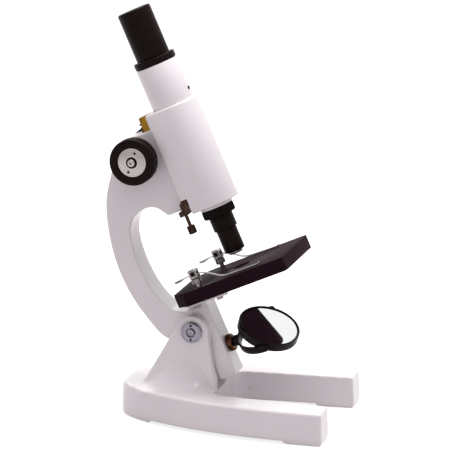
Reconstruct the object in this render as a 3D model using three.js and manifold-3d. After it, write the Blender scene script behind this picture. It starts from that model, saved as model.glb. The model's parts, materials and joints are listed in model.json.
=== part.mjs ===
import * as THREE from "three";
import { mergeVertices } from "three/addons/utils/BufferGeometryUtils.js";
import Module from "manifold-3d";

const wasm = await Module();
wasm.setup();

// General
const fit = 0.3;
const roundSteps = 28;
const smallSteps = 12;

// Pose and optical axis. Upper pieces are drawn upright about the inclination pivot, then leaned back.
const leanDeg = 23.8;
const pivotHeight = 74.5;
const opticalAxisX = 54.9;

// Base casting
const footHeight = 2.3;
const baseTop = 27;
const rearReach = 62;
const rearFlatHalf = 16;
const legReach = 121.5;
const baseHalfWidth = 67.8;
const legShoulderX = 88;
const legInnerHalfEnd = 43;
const legInnerHalfRoot = 37;
const gapRearX = 20;
const gapCornerRadius = 13;
const castingDraft = 1;
const castingBevel = 1.4;
const rearFootFrontX = -30;
const legFootRearX = 90;
const earInnerHalf = 13.3;
const earThickness = 8.2;
const earRadius = 13.5;
const earRearFootX = -43;
const earFrontFootX = 30;
const earBevel = 1.2;
const skirtHalfWidth = 40;
const skirtHeight = 23;
const skirtLayers = 6;
const skirtRearRun = 24;
const skirtFrontRun = 12;
const slotFloor = 24;
const slotRearX = -3;
const webTop = 40;

// Inclination hinge
const hingePinRadius = 4;
const hingePinEndRadius = 2.8;
const hingeDiscRadius = 8.6;
const hingeDiscThickness = 3.2;
const spannerHoleRadius = 1.1;
const hingeSpannerOffset = 5.9;

// Arm casting
const armHalfWidth = 13;
const armTopZ = 165.8;
const armFrontX = 34.4;
const armChinZ = 95.2;
const armBevel = 1;
const lugRadius = 13.2;
const tailHalfWidth = 11.6;
const tailRearX = 2.5;
const tailFrontX = 17.5;
const tailBottomZ = -47.3;
const flangeRearX = 0.5;
const flangeFrontX = 35;
const flangeBottomZ = 17.4;
const bearingRadius = 10;
const bearingHalfWidth = 20;

// Stage
const stageRearX = 0.9;
const stageFrontX = 103.4;
const stageHalfWidth = 40.8;
const stageTopZ = 34.3;
const stageThickness = 11.2;
const stageChamfer = 11.9;
const stageEdgeRound = 0.8;
const stageHoleRadius = 6.5;
const stageFrontRound = 3;
const stageScrewX = 29;
const stageScrewHalfSpacing = 6.5;
const stageScrewRadius = 1.5;
const stageScrewHeadRadius = 2.8;
const stageScrewHeadHeight = 1.8;

// Stage clips
const clipX = 26.5;
const clipHalfSpacing = 34.5;
const clipToeInDeg = 3.5;
const postRadius = 2;
const collarRise = 3.2;
const clipCollarRadius = 4.1;
const clipCollarHeight = 4.6;
const clipCapRadius = 4.6;
const clipCapHeight = 7.4;
const leafThickness = 0.8;
const leafWidth = 8;
const leafBladeWidth = 3.6;
const leafTipWidth = 3;
const leafRearReach = 18;
const leafFrontReach = 55;

// Mirror
const mirrorAxisZ = -22.5;
const forkSpinDeg = 22;
const mirrorTiltDeg = 40.6;
const cellRadius = 25.6;
const cellWall = 1.4;
const cellThickness = 7.5;
const cellWebInner = 20;
const cellWebThickness = 1.2;
const glassThickness = 1.8;
const concaveDepth = 0.9;
const forkClearance = 0.6;
const forkNeck = 1.5;
const forkStrip = 1.8;
const forkWidth = 6.8;
const forkEyeRadius = 4;
const forkHubRadius = 4.6;
const forkStemRadius = 3;
const forkStemRearX = 7;
const mirrorNutRadius = 7.2;
const mirrorNutThickness = 5.2;
const forkScrewRadius = 1.3;
const forkScrewHeadRadius = 2.7;
const forkScrewHeadThickness = 1.6;

// Body tube
const housingRadius = 20.5;
const housingRearX = 34.7;
const housingBottomZ = 89.9;
const housingTopZ = 178.3;
const housingChamfer = 2;
const housingRearRound = 2;
const housingBoreRadius = 14.5;
const housingFloor = 7;
const notchDepth = 6;
const notchTopZ = 103.4;
const drawTubeRadius = 17.6;
const drawTubeWall = 3;
const drawTubeTopZ = 213.4;
const drawTubeSocket = 22;
const collarRadius = 17.5;
const collarHeight = 5.7;
const collarChamfer = 0.7;
const setScrewRadius = 1.4;
const setScrewProud = 0.9;
const rearSetScrewZ = 208;
const frontSetScrewZ = 185.8;

// Eyepiece
const eyepieceRadius = 14;
const eyepieceVisibleLength = 41.4;
const eyepieceBarrelRadius = 11.6;
const eyepieceBarrelLength = 27;
const eyepieceWall = 1.6;
const eyeApertureRadius = 5;
const eyeLensRadius = 8;
const eyeLensThickness = 3;
const fieldLensThickness = 3.4;

// Focusing slide and pinion
const slideRearX = 25.2;
const slideRearHalf = 9.4;
const slideFrontHalf = 7.2;
const slideBottomZ = 106;
const slideTopZ = 177.8;
const pinionX = 14.2;
const pinionZ = 148.2;
const pinionRadius = 7.6;
const pinionHalfWidth = 5;
const toothCount = 16;
const toothDepth = 1.5;
const rackHalfWidth = 4.6;
const shaftRadius = 3;
const knobRadius = 19.2;
const knobThickness = 12.3;
const knobInnerY = 22;
const knobEdge = 1.5;
const knobRecessRadius = 12.2;
const knobRecessDepth = 2.5;
const knobDiscThickness = 1.8;
const knobSpannerOffset = 8.3;
const hubCapRadius = 3.8;
const hubCapHeight = 1.8;
const centreDrillRadius = 1.2;

// Objective
const mountRingRadius = 13.9;
const mountRingHeight = 2.4;
const threadRadius = 10.1;
const threadLength = 5.5;
const objectiveFlangeRadius = 13.7;
const objectiveFlangeHeight = 7.2;
const objectiveBodyRadius = 10;
const objectiveBodyHeight = 12;
const objectiveTipRadius = 8.6;
const objectiveTipHeight = 20;
const frontRingRadius = 6.2;
const frontRingHeight = 1.7;
const frontLensRadius = 3.2;
const objectiveBoreRadius = 4.6;

// Rack stop
const stopY = -16.6;
const stopBlockWidth = 8;
const stopBlockDepth = 5;
const stopBlockHeight = 6.5;
const stopLegHeight = 5.2;
const stopScrewRadius = 1.9;
const stopScrewX = 33.4;
const stopHeadRadius = 3.9;
const stopHeadHeight = 9;
const stopScrewLength = 9.5;

// Values that follow from the ones above
const earOuterY = earInnerHalf + earThickness;
const stageBottomZ = stageTopZ - stageThickness;
const flangeTopZ = stageBottomZ - fit;
const collarBottomZ = drawTubeTopZ + fit;
const eyepieceBottomZ = collarBottomZ + collarHeight + fit;
const eyepieceTopZ = eyepieceBottomZ + eyepieceVisibleLength;
const rackFrontX = slideRearX - fit;
const rackToothTipX = pinionX + pinionRadius + fit;
const slideFrontX = housingRearX - fit;
const capBottomZ = stageTopZ + collarRise + clipCollarHeight + fit;
const leafHeight = capBottomZ + clipCapHeight * 0.5 - stageTopZ;
const forkInnerRadius = cellRadius + forkClearance;
const forkOuterRadius = forkInnerRadius + forkStrip;
const mirrorNutFrontX = tailFrontX + fit + mirrorNutThickness;
const mirrorX = Math.max(opticalAxisX, mirrorNutFrontX + fit + forkNeck + forkOuterRadius);
const mountRingTopZ = housingBottomZ - fit;
const objectiveTopZ = mountRingTopZ - mountRingHeight - fit;
const frontRingZ = objectiveTopZ - objectiveFlangeHeight - objectiveBodyHeight - objectiveTipHeight;
const knobDiscOuterY = knobInnerY + knobThickness - knobRecessDepth + fit + knobDiscThickness;

const deg = Math.PI / 180;

// Nested frames: the stand, what leans on it, the mirror fork and the mirror in the fork
function frame(name, parent) {
  const group = new THREE.Group();
  group.name = name;
  if (parent) parent.add(group);
  return group;
}

const root = frame("microscope");
const stand = frame("stand", root);
const upper = frame("leaning_assembly", stand);
upper.position.z = pivotHeight;
upper.rotation.y = -leanDeg * deg;
const fork = frame("fork_frame", upper);
fork.position.set(mirrorX, 0, mirrorAxisZ);
fork.rotation.x = forkSpinDeg * deg;
const cell = frame("cell_frame", fork);
cell.rotation.y = mirrorTiltDeg * deg;

const white = { color: 0xf1eef0, roughness: 0.38, metalness: 0 };
const black = { color: 0x1c1718, roughness: 0.42, metalness: 0 };
const blackPaint = { color: 0x241d21, roughness: 0.5, metalness: 0 };
const silver = { color: 0xc4bdbd, roughness: 0.28, metalness: 1 };
const brass = { color: 0xb08a3c, roughness: 0.35, metalness: 1 };
const bronze = { color: 0x5a3b22, roughness: 0.4, metalness: 1 };
const glass = { color: 0xe8eef2, roughness: 0.04, metalness: 0 };
const mirrorGlass = { color: 0xe6e8ec, roughness: 0.03, metalness: 1 };

// Geometry as a manifold solid
function solid(geometry) {
  const plain = geometry.clone();
  plain.deleteAttribute("normal");
  plain.deleteAttribute("uv");
  const merged = mergeVertices(plain, 1e-4);
  return new wasm.Manifold(
    new wasm.Mesh({
      numProp: 3,
      vertProperties: new Float32Array(merged.attributes.position.array),
      triVerts: new Uint32Array(merged.index.array),
    }),
  );
}

function geometryOf(body) {
  const mesh = body.getMesh();
  const positions = new Float32Array(mesh.numVert * 3);
  for (let i = 0; i < mesh.numVert; i++) {
    const from = i * mesh.numProp;
    positions.set(mesh.vertProperties.subarray(from, from + 3), i * 3);
  }
  const geometry = new THREE.BufferGeometry();
  geometry.setAttribute("position", new THREE.BufferAttribute(positions, 3));
  geometry.setIndex(new THREE.BufferAttribute(mesh.triVerts, 1));
  return geometry;
}

function joined(...geometries) {
  return geometryOf(geometries.map(solid).reduce((a, b) => a.add(b)));
}

function cut(geometry, ...tools) {
  return geometryOf(tools.map(solid).reduce((a, b) => a.subtract(b), solid(geometry)));
}

function common(a, b) {
  return geometryOf(solid(a).intersect(solid(b)));
}

// Outline moved inwards by a distance, corner by corner
function inset(points, distance) {
  return points.map((p, i) => {
    const before = points[(i + points.length - 1) % points.length];
    const after = points[(i + 1) % points.length];
    const a = p.clone().sub(before).normalize();
    const b = after.clone().sub(p).normalize();
    const scale = distance / (1 + a.dot(b));
    return new THREE.Vector2(p.x - (a.y + b.y) * scale, p.y + (a.x + b.x) * scale);
  });
}

function outlinePoints(shape, curveSteps) {
  const drawn = shape.getPoints(curveSteps);
  const points = drawn.filter((p, i) => p.distanceTo(drawn[(i + 1) % drawn.length]) > 1e-4);
  return THREE.ShapeUtils.area(points) < 0 ? points.reverse() : points;
}

// Outlines of equal point count, each at its own height, closed top and bottom
function stacked(outlines, heights) {
  const count = outlines[0].length;
  const last = (outlines.length - 1) * count;
  const positions = [];
  outlines.forEach((outline, layer) => {
    for (const p of outline) positions.push(p.x, p.y, heights[layer]);
  });
  const faces = [];
  for (const [a, b, c] of THREE.ShapeUtils.triangulateShape(outlines[0], [])) {
    faces.push(c, b, a, last + a, last + b, last + c);
  }
  for (let layer = 0; layer < outlines.length - 1; layer++) {
    for (let i = 0; i < count; i++) {
      const a = layer * count + i;
      const b = layer * count + ((i + 1) % count);
      faces.push(a, b, b + count, a, b + count, a + count);
    }
  }
  const geometry = new THREE.BufferGeometry();
  geometry.setAttribute("position", new THREE.Float32BufferAttribute(positions, 3));
  geometry.setIndex(faces);
  return geometry;
}

// One outline stacked in layers of [inset, height]
function layered(shape, layers, curveSteps = 10) {
  const points = outlinePoints(shape, curveSteps);
  return stacked(layers.map(([distance]) => inset(points, distance)), layers.map(([, height]) => height));
}

// Outline in X and Z, thickened along Y from one side to the other
function sidePlate(shape, fromY, toY, bevel = 0, curveSteps = 10) {
  const low = -toY;
  const high = -fromY;
  const layers = bevel
    ? [[bevel, low], [0, low + bevel], [0, high - bevel], [bevel, high]]
    : [[0, low], [0, high]];
  return layered(shape, layers, curveSteps).rotateX(Math.PI / 2);
}

function box(fromX, toX, fromY, toY, fromZ, toZ) {
  return new THREE.BoxGeometry(toX - fromX, toY - fromY, toZ - fromZ).translate(
    (fromX + toX) / 2,
    (fromY + toY) / 2,
    (fromZ + toZ) / 2,
  );
}

// Profile of [radius, height] turned about Z
function turned(profile, steps = roundSteps) {
  const points = profile.map(([r, z]) => new THREE.Vector2(r, z));
  if (profile[0][0] > 0) points.push(points[0].clone());
  return new THREE.LatheGeometry(points, steps).rotateX(Math.PI / 2);
}

function rod(radius, fromZ, toZ, steps = smallSteps) {
  return turned([[0, fromZ], [radius, fromZ], [radius, toZ], [0, toZ]], steps);
}

function tube(inner, outer, fromZ, toZ, steps = roundSteps) {
  return turned([[inner, fromZ], [outer, fromZ], [outer, toZ], [inner, toZ]], steps);
}

// Turned pieces stand along Z; these lay them along Y or X, away from the centre
function alongY(geometry, side) {
  return geometry.rotateX(side < 0 ? Math.PI / 2 : -Math.PI / 2);
}

function alongX(geometry, side = 1) {
  return geometry.rotateY((side * Math.PI) / 2);
}

function add(group, name, geometry, material) {
  geometry.computeVertexNormals();
  const mesh = new THREE.Mesh(geometry, new THREE.MeshStandardMaterial(material));
  mesh.name = name;
  group.add(mesh);
}

function basePlan() {
  const plan = new THREE.Shape();
  plan.moveTo(-rearReach, -rearFlatHalf);
  plan.bezierCurveTo(-rearReach + 2, -36, 0, 2 - baseHalfWidth, legShoulderX, -baseHalfWidth);
  plan.lineTo(legReach, -baseHalfWidth);
  plan.lineTo(legReach, baseHalfWidth);
  plan.lineTo(legShoulderX, baseHalfWidth);
  plan.bezierCurveTo(0, baseHalfWidth - 2, -rearReach + 2, 36, -rearReach, rearFlatHalf);
  return plan;
}

function legGap() {
  const end = legReach + 10;
  const endHalf = legInnerHalfEnd + 0.6;
  const corner = gapRearX + gapCornerRadius;
  const rootHalf = legInnerHalfRoot;
  const plan = new THREE.Shape();
  plan.moveTo(end, -endHalf);
  plan.lineTo(end, endHalf);
  plan.lineTo(corner, rootHalf);
  plan.quadraticCurveTo(gapRearX, rootHalf, gapRearX, rootHalf - gapCornerRadius);
  plan.lineTo(gapRearX, gapCornerRadius - rootHalf);
  plan.quadraticCurveTo(gapRearX, -rootHalf, corner, -rootHalf);
  return layered(plan, [[castingDraft, -5], [0, baseTop], [0, pivotHeight - earRadius]], 6);
}

function earShape() {
  const rearAngle = 147 * deg;
  const ear = new THREE.Shape();
  ear.moveTo(earRearFootX, baseTop - 4);
  ear.lineTo(earFrontFootX, baseTop - 4);
  ear.lineTo(earFrontFootX, baseTop);
  ear.bezierCurveTo(18, 31, 16.5, 44, earRadius, pivotHeight);
  ear.absarc(0, pivotHeight, earRadius, 0, rearAngle, false);
  ear.lineTo(earRearFootX, baseTop);
  return ear;
}

function roundedRectangle(fromX, toX, half, radius) {
  const r = new THREE.Shape();
  r.moveTo(fromX, radius - half);
  r.quadraticCurveTo(fromX, -half, fromX + radius, -half);
  r.lineTo(toX - radius, -half);
  r.quadraticCurveTo(toX, -half, toX, radius - half);
  r.lineTo(toX, half - radius);
  r.quadraticCurveTo(toX, half, toX - radius, half);
  r.lineTo(fromX + radius, half);
  r.quadraticCurveTo(fromX, half, fromX, half - radius);
  return r;
}

// Hollow flare between the top of the base and the ears
function skirt() {
  const outlines = [];
  const heights = [];
  for (let i = 0; i <= skirtLayers; i++) {
    const angle = (i / skirtLayers) * 90 * deg;
    const gone = Math.sin(angle);
    const rise = 1 - Math.cos(angle);
    const half = skirtHalfWidth + (earOuterY - 0.6 - skirtHalfWidth) * gone;
    const rearX = earRearFootX - 5 + skirtRearRun * gone;
    const shape = roundedRectangle(rearX, gapRearX + 3 - skirtFrontRun * gone, half, 15 - 12 * gone);
    outlines.push(outlinePoints(shape, 5));
    heights.push(baseTop - 0.4 + skirtHeight * rise);
  }
  outlines.unshift(outlines[0]);
  heights.unshift(baseTop - 3);
  return stacked(outlines, heights);
}

function baseCasting() {
  const plan = basePlan();
  const body = layered(plan, [
    [0, footHeight],
    [castingDraft, baseTop - castingBevel],
    [castingDraft + castingBevel * 0.4, baseTop - castingBevel * 0.35],
    [castingDraft + castingBevel, baseTop],
  ]);
  const sole = layered(plan, [[1, 0], [0.4, 0.8], [0.2, footHeight + 1]]);
  const wide = baseHalfWidth + 5;
  const rearFoot = common(sole, box(-rearReach - 5, rearFootFrontX, -wide, wide, -1, footHeight + 2));
  const legFeet = common(sole, box(legFootRearX, legReach + 5, -wide, wide, -1, footHeight + 2));
  const ears = sidePlate(earShape(), -earOuterY, earOuterY, earBevel, 12);
  const high = pivotHeight + 30;
  const slot = box(slotRearX, legReach, -earInnerHalf, earInnerHalf, slotFloor, high);
  const rearSlot = box(-rearReach, slotRearX + 1, -earInnerHalf, earInnerHalf, webTop, high);
  const bore = alongY(rod(hingePinRadius + fit, -30, 30, 24), 1).translate(0, 0, pivotHeight);
  const whole = joined(body, skirt(), ears);
  const shaped = common(whole, box(-rearReach - 9, legReach + 9, -wide, wide, footHeight, high));
  return cut(joined(shaped, rearFoot, legFeet), slot, rearSlot, bore, legGap());
}

function spannerHoles(offset, turnDeg, fromZ, toZ) {
  const hole = () => rod(spannerHoleRadius, fromZ, toZ, 12);
  const x = offset * Math.cos(turnDeg * deg);
  const y = offset * Math.sin(turnDeg * deg);
  return [hole().translate(x, y, 0), hole().translate(-x, -y, 0)];
}

function hinge() {
  const discInnerY = earOuterY + fit;
  const discOuterY = discInnerY + hingeDiscThickness;
  const endY = discOuterY + 0.4;
  const pin = turned(
    [
      [0, -endY],
      [hingePinEndRadius, -endY],
      [hingePinEndRadius, -earOuterY + 1],
      [hingePinRadius, -earOuterY + 1],
      [hingePinRadius, earOuterY - 1],
      [hingePinEndRadius, earOuterY - 1],
      [hingePinEndRadius, endY],
      [centreDrillRadius, endY],
      [0, endY - 1],
    ],
    24,
  );
  add(stand, "hinge_pin", alongY(pin, 1).translate(0, 0, pivotHeight), silver);
  for (const side of [-1, 1]) {
    const disc = turned([
      [hingePinEndRadius + fit, discInnerY],
      [hingeDiscRadius, discInnerY],
      [hingeDiscRadius, discOuterY - 0.6],
      [hingeDiscRadius - 0.6, discOuterY],
      [hingePinEndRadius + fit, discOuterY],
    ]);
    const pierced = cut(disc, ...spannerHoles(hingeSpannerOffset, 90, discInnerY + 1, discOuterY + 1));
    const name = side < 0 ? "hinge_disc_near" : "hinge_disc_far";
    add(stand, name, alongY(pierced, side).translate(0, 0, pivotHeight), silver);
  }
}

function armShape() {
  const arm = new THREE.Shape();
  const p = (x, z) => new THREE.Vector2(x, z);
  arm.moveTo(armFrontX, armTopZ);
  arm.lineTo(10, armTopZ);
  arm.splineThru([p(-2, 160.5), p(-15, 143.5), p(-27.4, 125.7), p(-36.2, 102), p(-41.1, 74), p(-40.6, 48),
    p(-36, 25.3), p(-27, 2), p(-lugRadius * 0.8, -lugRadius * 0.6)]);
  arm.absarc(0, 0, lugRadius, 217 * deg, 360 * deg, false);
  arm.lineTo(lugRadius, 16.4);
  arm.lineTo(-3, 16.4);
  arm.splineThru([p(-12, 22.2), p(-19.2, 35.6), p(-23, 56), p(-22.8, 76), p(-18.8, 94), p(-11, 103.8),
    p(0, 107.4), p(10, 104.8), p(17.4, armChinZ)]);
  arm.lineTo(armFrontX, armChinZ);
  return arm;
}

function slideSection(clearance) {
  const c = clearance;
  const section = new THREE.Shape();
  section.moveTo(slideRearX - c, -slideRearHalf - c);
  section.lineTo(slideFrontX + c * 2, -slideFrontHalf - c);
  section.lineTo(slideFrontX + c * 2, slideFrontHalf + c);
  section.lineTo(slideRearX - c, slideRearHalf + c);
  return section;
}

function armCasting() {
  const arm = sidePlate(armShape(), -armHalfWidth, armHalfWidth, armBevel, 4);
  const bearing = alongY(rod(bearingRadius, -bearingHalfWidth, bearingHalfWidth, 32), 1);
  bearing.translate(pinionX, 0, pinionZ);
  const tail = box(tailRearX, tailFrontX, -tailHalfWidth, tailHalfWidth, tailBottomZ, flangeBottomZ + 1);
  const flange = box(flangeRearX, flangeFrontX, -tailHalfWidth, tailHalfWidth, flangeBottomZ, flangeTopZ);
  const whole = joined(arm, bearing, tail, flange);
  const tall = armTopZ + 5;
  const dovetail = layered(slideSection(fit), [[0, armChinZ - 5], [0, tall]]);
  const rackGroove = box(pinionX, slideRearX + 1, -rackHalfWidth - fit, rackHalfWidth + fit, armChinZ - 5, tall);
  const pinionRoom = alongY(rod(pinionRadius + 0.8, -pinionHalfWidth - fit, pinionHalfWidth + fit, 24), 1);
  pinionRoom.translate(pinionX, 0, pinionZ);
  const shaftBore = alongY(rod(shaftRadius + fit, -30, 30, 20), 1).translate(pinionX, 0, pinionZ);
  const hingeBore = alongY(rod(hingePinRadius + fit, -30, 30, 24), 1);
  const stemBore = alongX(rod(forkStemRadius + fit, forkStemRearX - 1, 30, 20)).translate(0, 0, mirrorAxisZ);
  const tools = [dovetail, rackGroove, pinionRoom, shaftBore, hingeBore, stemBore];
  for (const side of [-1, 1]) {
    const hole = rod(stageScrewRadius + fit, flangeBottomZ - 5, flangeTopZ + 5, 16);
    tools.push(hole.translate(stageScrewX, side * stageScrewHalfSpacing, 0));
  }
  return cut(whole, ...tools);
}

function stagePlate() {
  const plan = new THREE.Shape();
  plan.moveTo(stageRearX, -stageHalfWidth + stageChamfer);
  plan.lineTo(stageRearX + stageChamfer, -stageHalfWidth);
  plan.lineTo(stageFrontX - stageFrontRound, -stageHalfWidth);
  plan.quadraticCurveTo(stageFrontX, -stageHalfWidth, stageFrontX, stageFrontRound - stageHalfWidth);
  plan.lineTo(stageFrontX, stageHalfWidth - stageFrontRound);
  plan.quadraticCurveTo(stageFrontX, stageHalfWidth, stageFrontX - stageFrontRound, stageHalfWidth);
  plan.lineTo(stageRearX + stageChamfer, stageHalfWidth);
  plan.lineTo(stageRearX, stageHalfWidth - stageChamfer);
  const plate = layered(plan, [
    [stageEdgeRound, stageBottomZ],
    [0, stageBottomZ + stageEdgeRound],
    [0, stageTopZ - stageEdgeRound],
    [stageEdgeRound, stageTopZ],
  ], 5);
  const light = rod(stageHoleRadius, stageBottomZ - 5, stageTopZ + 5, 32).translate(opticalAxisX, 0, 0);
  const tools = [light];
  for (const side of [-1, 1]) {
    const post = rod(postRadius + fit, stageTopZ - 8, stageTopZ + 5, 16);
    tools.push(post.translate(clipX, side * clipHalfSpacing, 0));
    const screw = rod(stageScrewRadius + fit, stageBottomZ - 5, stageTopZ - 3, 16);
    tools.push(screw.translate(stageScrewX, side * stageScrewHalfSpacing, 0));
  }
  return cut(plate, ...tools);
}

function stageScrews() {
  for (const side of [-1, 1]) {
    const headTop = flangeBottomZ - fit;
    const screw = turned(
      [
        [0, headTop - stageScrewHeadHeight],
        [stageScrewHeadRadius, headTop - stageScrewHeadHeight],
        [stageScrewHeadRadius, headTop],
        [stageScrewRadius, headTop],
        [stageScrewRadius, stageTopZ - 4],
        [0, stageTopZ - 4],
      ],
      16,
    ).translate(stageScrewX, side * stageScrewHalfSpacing, 0);
    add(upper, side < 0 ? "stage_screw_near" : "stage_screw_far", screw, silver);
  }
}

// Spring leaf drawn along X from the post axis, resting height above the stage
function clipLeaf() {
  const t = leafThickness;
  const lift = leafHeight;
  const rest = fit + 0.2;
  const side = new THREE.Shape();
  side.moveTo(-leafRearReach, lift - 1);
  side.lineTo(-4, lift);
  side.lineTo(5, lift - 0.4);
  side.quadraticCurveTo(14, lift - 3, 20, rest + 2.4);
  side.quadraticCurveTo(24, rest + 0.6, leafFrontReach - 4, rest);
  side.lineTo(leafFrontReach, rest + 0.8);
  side.lineTo(leafFrontReach, rest + 0.8 + t);
  side.lineTo(leafFrontReach - 4, rest + t);
  side.quadraticCurveTo(24, rest + 0.6 + t, 20, rest + 2.4 + t);
  side.quadraticCurveTo(14, lift - 3 + t, 5, lift - 0.4 + t);
  side.lineTo(-4, lift + t);
  side.lineTo(-leafRearReach, lift - 1 + t);
  const strip = sidePlate(side, -leafWidth, leafWidth, 0, 6);
  const plan = new THREE.Shape();
  plan.moveTo(-6, -leafWidth * 0.34);
  plan.lineTo(5, -leafWidth * 0.34);
  plan.quadraticCurveTo(8, -leafBladeWidth / 2, 14, -leafBladeWidth / 2);
  plan.lineTo(leafFrontReach - 3, -leafTipWidth / 2);
  plan.quadraticCurveTo(leafFrontReach, -leafTipWidth / 2, leafFrontReach, 0);
  plan.quadraticCurveTo(leafFrontReach, leafTipWidth / 2, leafFrontReach - 3, leafTipWidth / 2);
  plan.lineTo(14, leafBladeWidth / 2);
  plan.quadraticCurveTo(8, leafBladeWidth / 2, 5, leafWidth * 0.34);
  plan.lineTo(-6, leafWidth * 0.34);
  plan.quadraticCurveTo(-9, leafWidth / 2, -leafRearReach + 4, leafWidth / 2);
  plan.quadraticCurveTo(-leafRearReach, leafWidth / 2, -leafRearReach, 0);
  plan.quadraticCurveTo(-leafRearReach, -leafWidth / 2, -leafRearReach + 4, -leafWidth / 2);
  plan.quadraticCurveTo(-9, -leafWidth / 2, -6, -leafWidth * 0.34);
  const outline = layered(plan, [[0, -5], [0, 40]], 6);
  const hole = rod(postRadius + fit, -10, 60, 16);
  return cut(common(strip, outline), hole);
}

function clips() {
  for (const side of [-1, 1]) {
    const end = side < 0 ? "near" : "far";
    const y = side * clipHalfSpacing;
    const place = (g) => g.rotateZ(-side * clipToeInDeg * deg).translate(clipX, y, 0);
    const collarZ = stageTopZ + collarRise;
    const post = turned(
      [
        [0, stageTopZ - 7.5],
        [postRadius, stageTopZ - 7.5],
        [postRadius, collarZ],
        [clipCollarRadius, collarZ],
        [clipCollarRadius, collarZ + clipCollarHeight],
        [postRadius, collarZ + clipCollarHeight],
        [postRadius, capBottomZ + clipCapHeight - 1.5],
        [0, capBottomZ + clipCapHeight - 1.5],
      ],
      24,
    );
    add(upper, "clip_post_" + end, post.translate(clipX, y, 0), silver);
    const cap = turned(
      [
        [0, capBottomZ],
        [clipCapRadius, capBottomZ],
        [clipCapRadius, capBottomZ + clipCapHeight - 0.8],
        [clipCapRadius - 0.8, capBottomZ + clipCapHeight],
        [0, capBottomZ + clipCapHeight],
      ],
      24,
    );
    const leafZ = stageTopZ + leafHeight;
    const window = box(-9, 9, -leafWidth * 0.36, leafWidth * 0.36, leafZ - 1.4, leafZ + leafThickness + 1.2);
    const shank = rod(postRadius + fit, capBottomZ - 5, capBottomZ + clipCapHeight - 1.2, 16);
    add(upper, "clip_cap_" + end, place(cut(cap, window, shank)), silver);
    add(upper, "clip_leaf_" + end, place(clipLeaf().translate(0, 0, stageTopZ)), silver);
  }
}

// Mirror pieces are drawn about the mirror centre: fork stem towards -X, tilt axis along Y
function mirrorFork() {
  const arc = new THREE.Shape();
  const reach = 1.5;
  arc.moveTo(reach, -forkOuterRadius);
  arc.lineTo(reach, -forkInnerRadius);
  arc.lineTo(0, -forkInnerRadius);
  arc.absarc(0, 0, forkInnerRadius, 270 * deg, 90 * deg, true);
  arc.lineTo(reach, forkInnerRadius);
  arc.lineTo(reach, forkOuterRadius);
  arc.lineTo(0, forkOuterRadius);
  arc.absarc(0, 0, forkOuterRadius, 90 * deg, 270 * deg, false);
  const strip = layered(arc, [[0, -forkWidth / 2], [0, forkWidth / 2]], 14);
  const hubRear = mirrorNutFrontX + fit - mirrorX;
  const hub = alongX(rod(forkHubRadius, hubRear, -forkInnerRadius - 0.9, 24));
  const stem = alongX(rod(forkStemRadius, forkStemRearX - mirrorX, hubRear + 1, 20));
  const tools = [];
  for (const side of [-1, 1]) {
    const bore = rod(forkScrewRadius + fit, cellRadius - 1, forkOuterRadius + 5, 14);
    tools.push(alongY(bore, side));
  }
  return cut(joined(strip, hub, stem), ...tools);
}

function mirrorCell() {
  const half = cellThickness / 2;
  const bore = cellRadius - cellWall;
  return turned(
    [
      [bore, -half],
      [cellRadius - 0.4, -half],
      [cellRadius, 0.4 - half],
      [cellRadius, half - 0.4],
      [cellRadius - 0.4, half],
      [bore, half],
      [bore, cellWebThickness / 2],
      [cellWebInner, cellWebThickness / 2],
      [cellWebInner, -cellWebThickness / 2],
      [bore, -cellWebThickness / 2],
    ],
    36,
  );
}

function mirror() {
  const nutX = tailFrontX + fit;
  const nut = turned(
    [
      [forkStemRadius + fit, 0],
      [mirrorNutRadius - 0.8, 0],
      [mirrorNutRadius, 0.8],
      [mirrorNutRadius, mirrorNutThickness - 1],
      [mirrorNutRadius - 1, mirrorNutThickness],
      [forkStemRadius + fit, mirrorNutThickness],
    ],
    28,
  );
  add(upper, "mirror_nut", alongX(nut).translate(nutX, 0, mirrorAxisZ), bronze);
  add(fork, "mirror_fork", mirrorFork(), blackPaint);
  const glassRadius = cellRadius - cellWall - fit;
  const glassZ = cellWebThickness / 2 + fit;
  add(cell, "mirror_cell", mirrorCell(), blackPaint);
  const flat = rod(glassRadius, glassZ, glassZ + glassThickness, 36);
  add(cell, "mirror_glass_plane", flat, mirrorGlass);
  const hollow = [[0, -glassZ - glassThickness + concaveDepth]];
  for (let i = 1; i <= 4; i++) {
    const r = (glassRadius - 0.5) * (i / 4);
    const sag = concaveDepth * (1 - (i / 4) ** 2);
    hollow.push([r, -glassZ - glassThickness + sag]);
  }
  hollow.push([glassRadius, -glassZ - glassThickness], [glassRadius, -glassZ], [0, -glassZ]);
  add(cell, "mirror_glass_concave", turned(hollow, 36), mirrorGlass);
  for (const side of [-1, 1]) {
    const screw = turned(
      [
        [0, cellRadius + fit],
        [forkScrewRadius, cellRadius + fit],
        [forkScrewRadius, forkOuterRadius + fit],
        [forkScrewHeadRadius, forkOuterRadius + fit],
        [forkScrewHeadRadius, forkOuterRadius + fit + forkScrewHeadThickness - 0.5],
        [forkScrewHeadRadius - 0.6, forkOuterRadius + fit + forkScrewHeadThickness],
        [0, forkOuterRadius + fit + forkScrewHeadThickness],
      ],
      18,
    );
    const name = side < 0 ? "mirror_screw_near" : "mirror_screw_far";
    add(fork, name, alongY(screw, side), blackPaint);
  }
}

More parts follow.
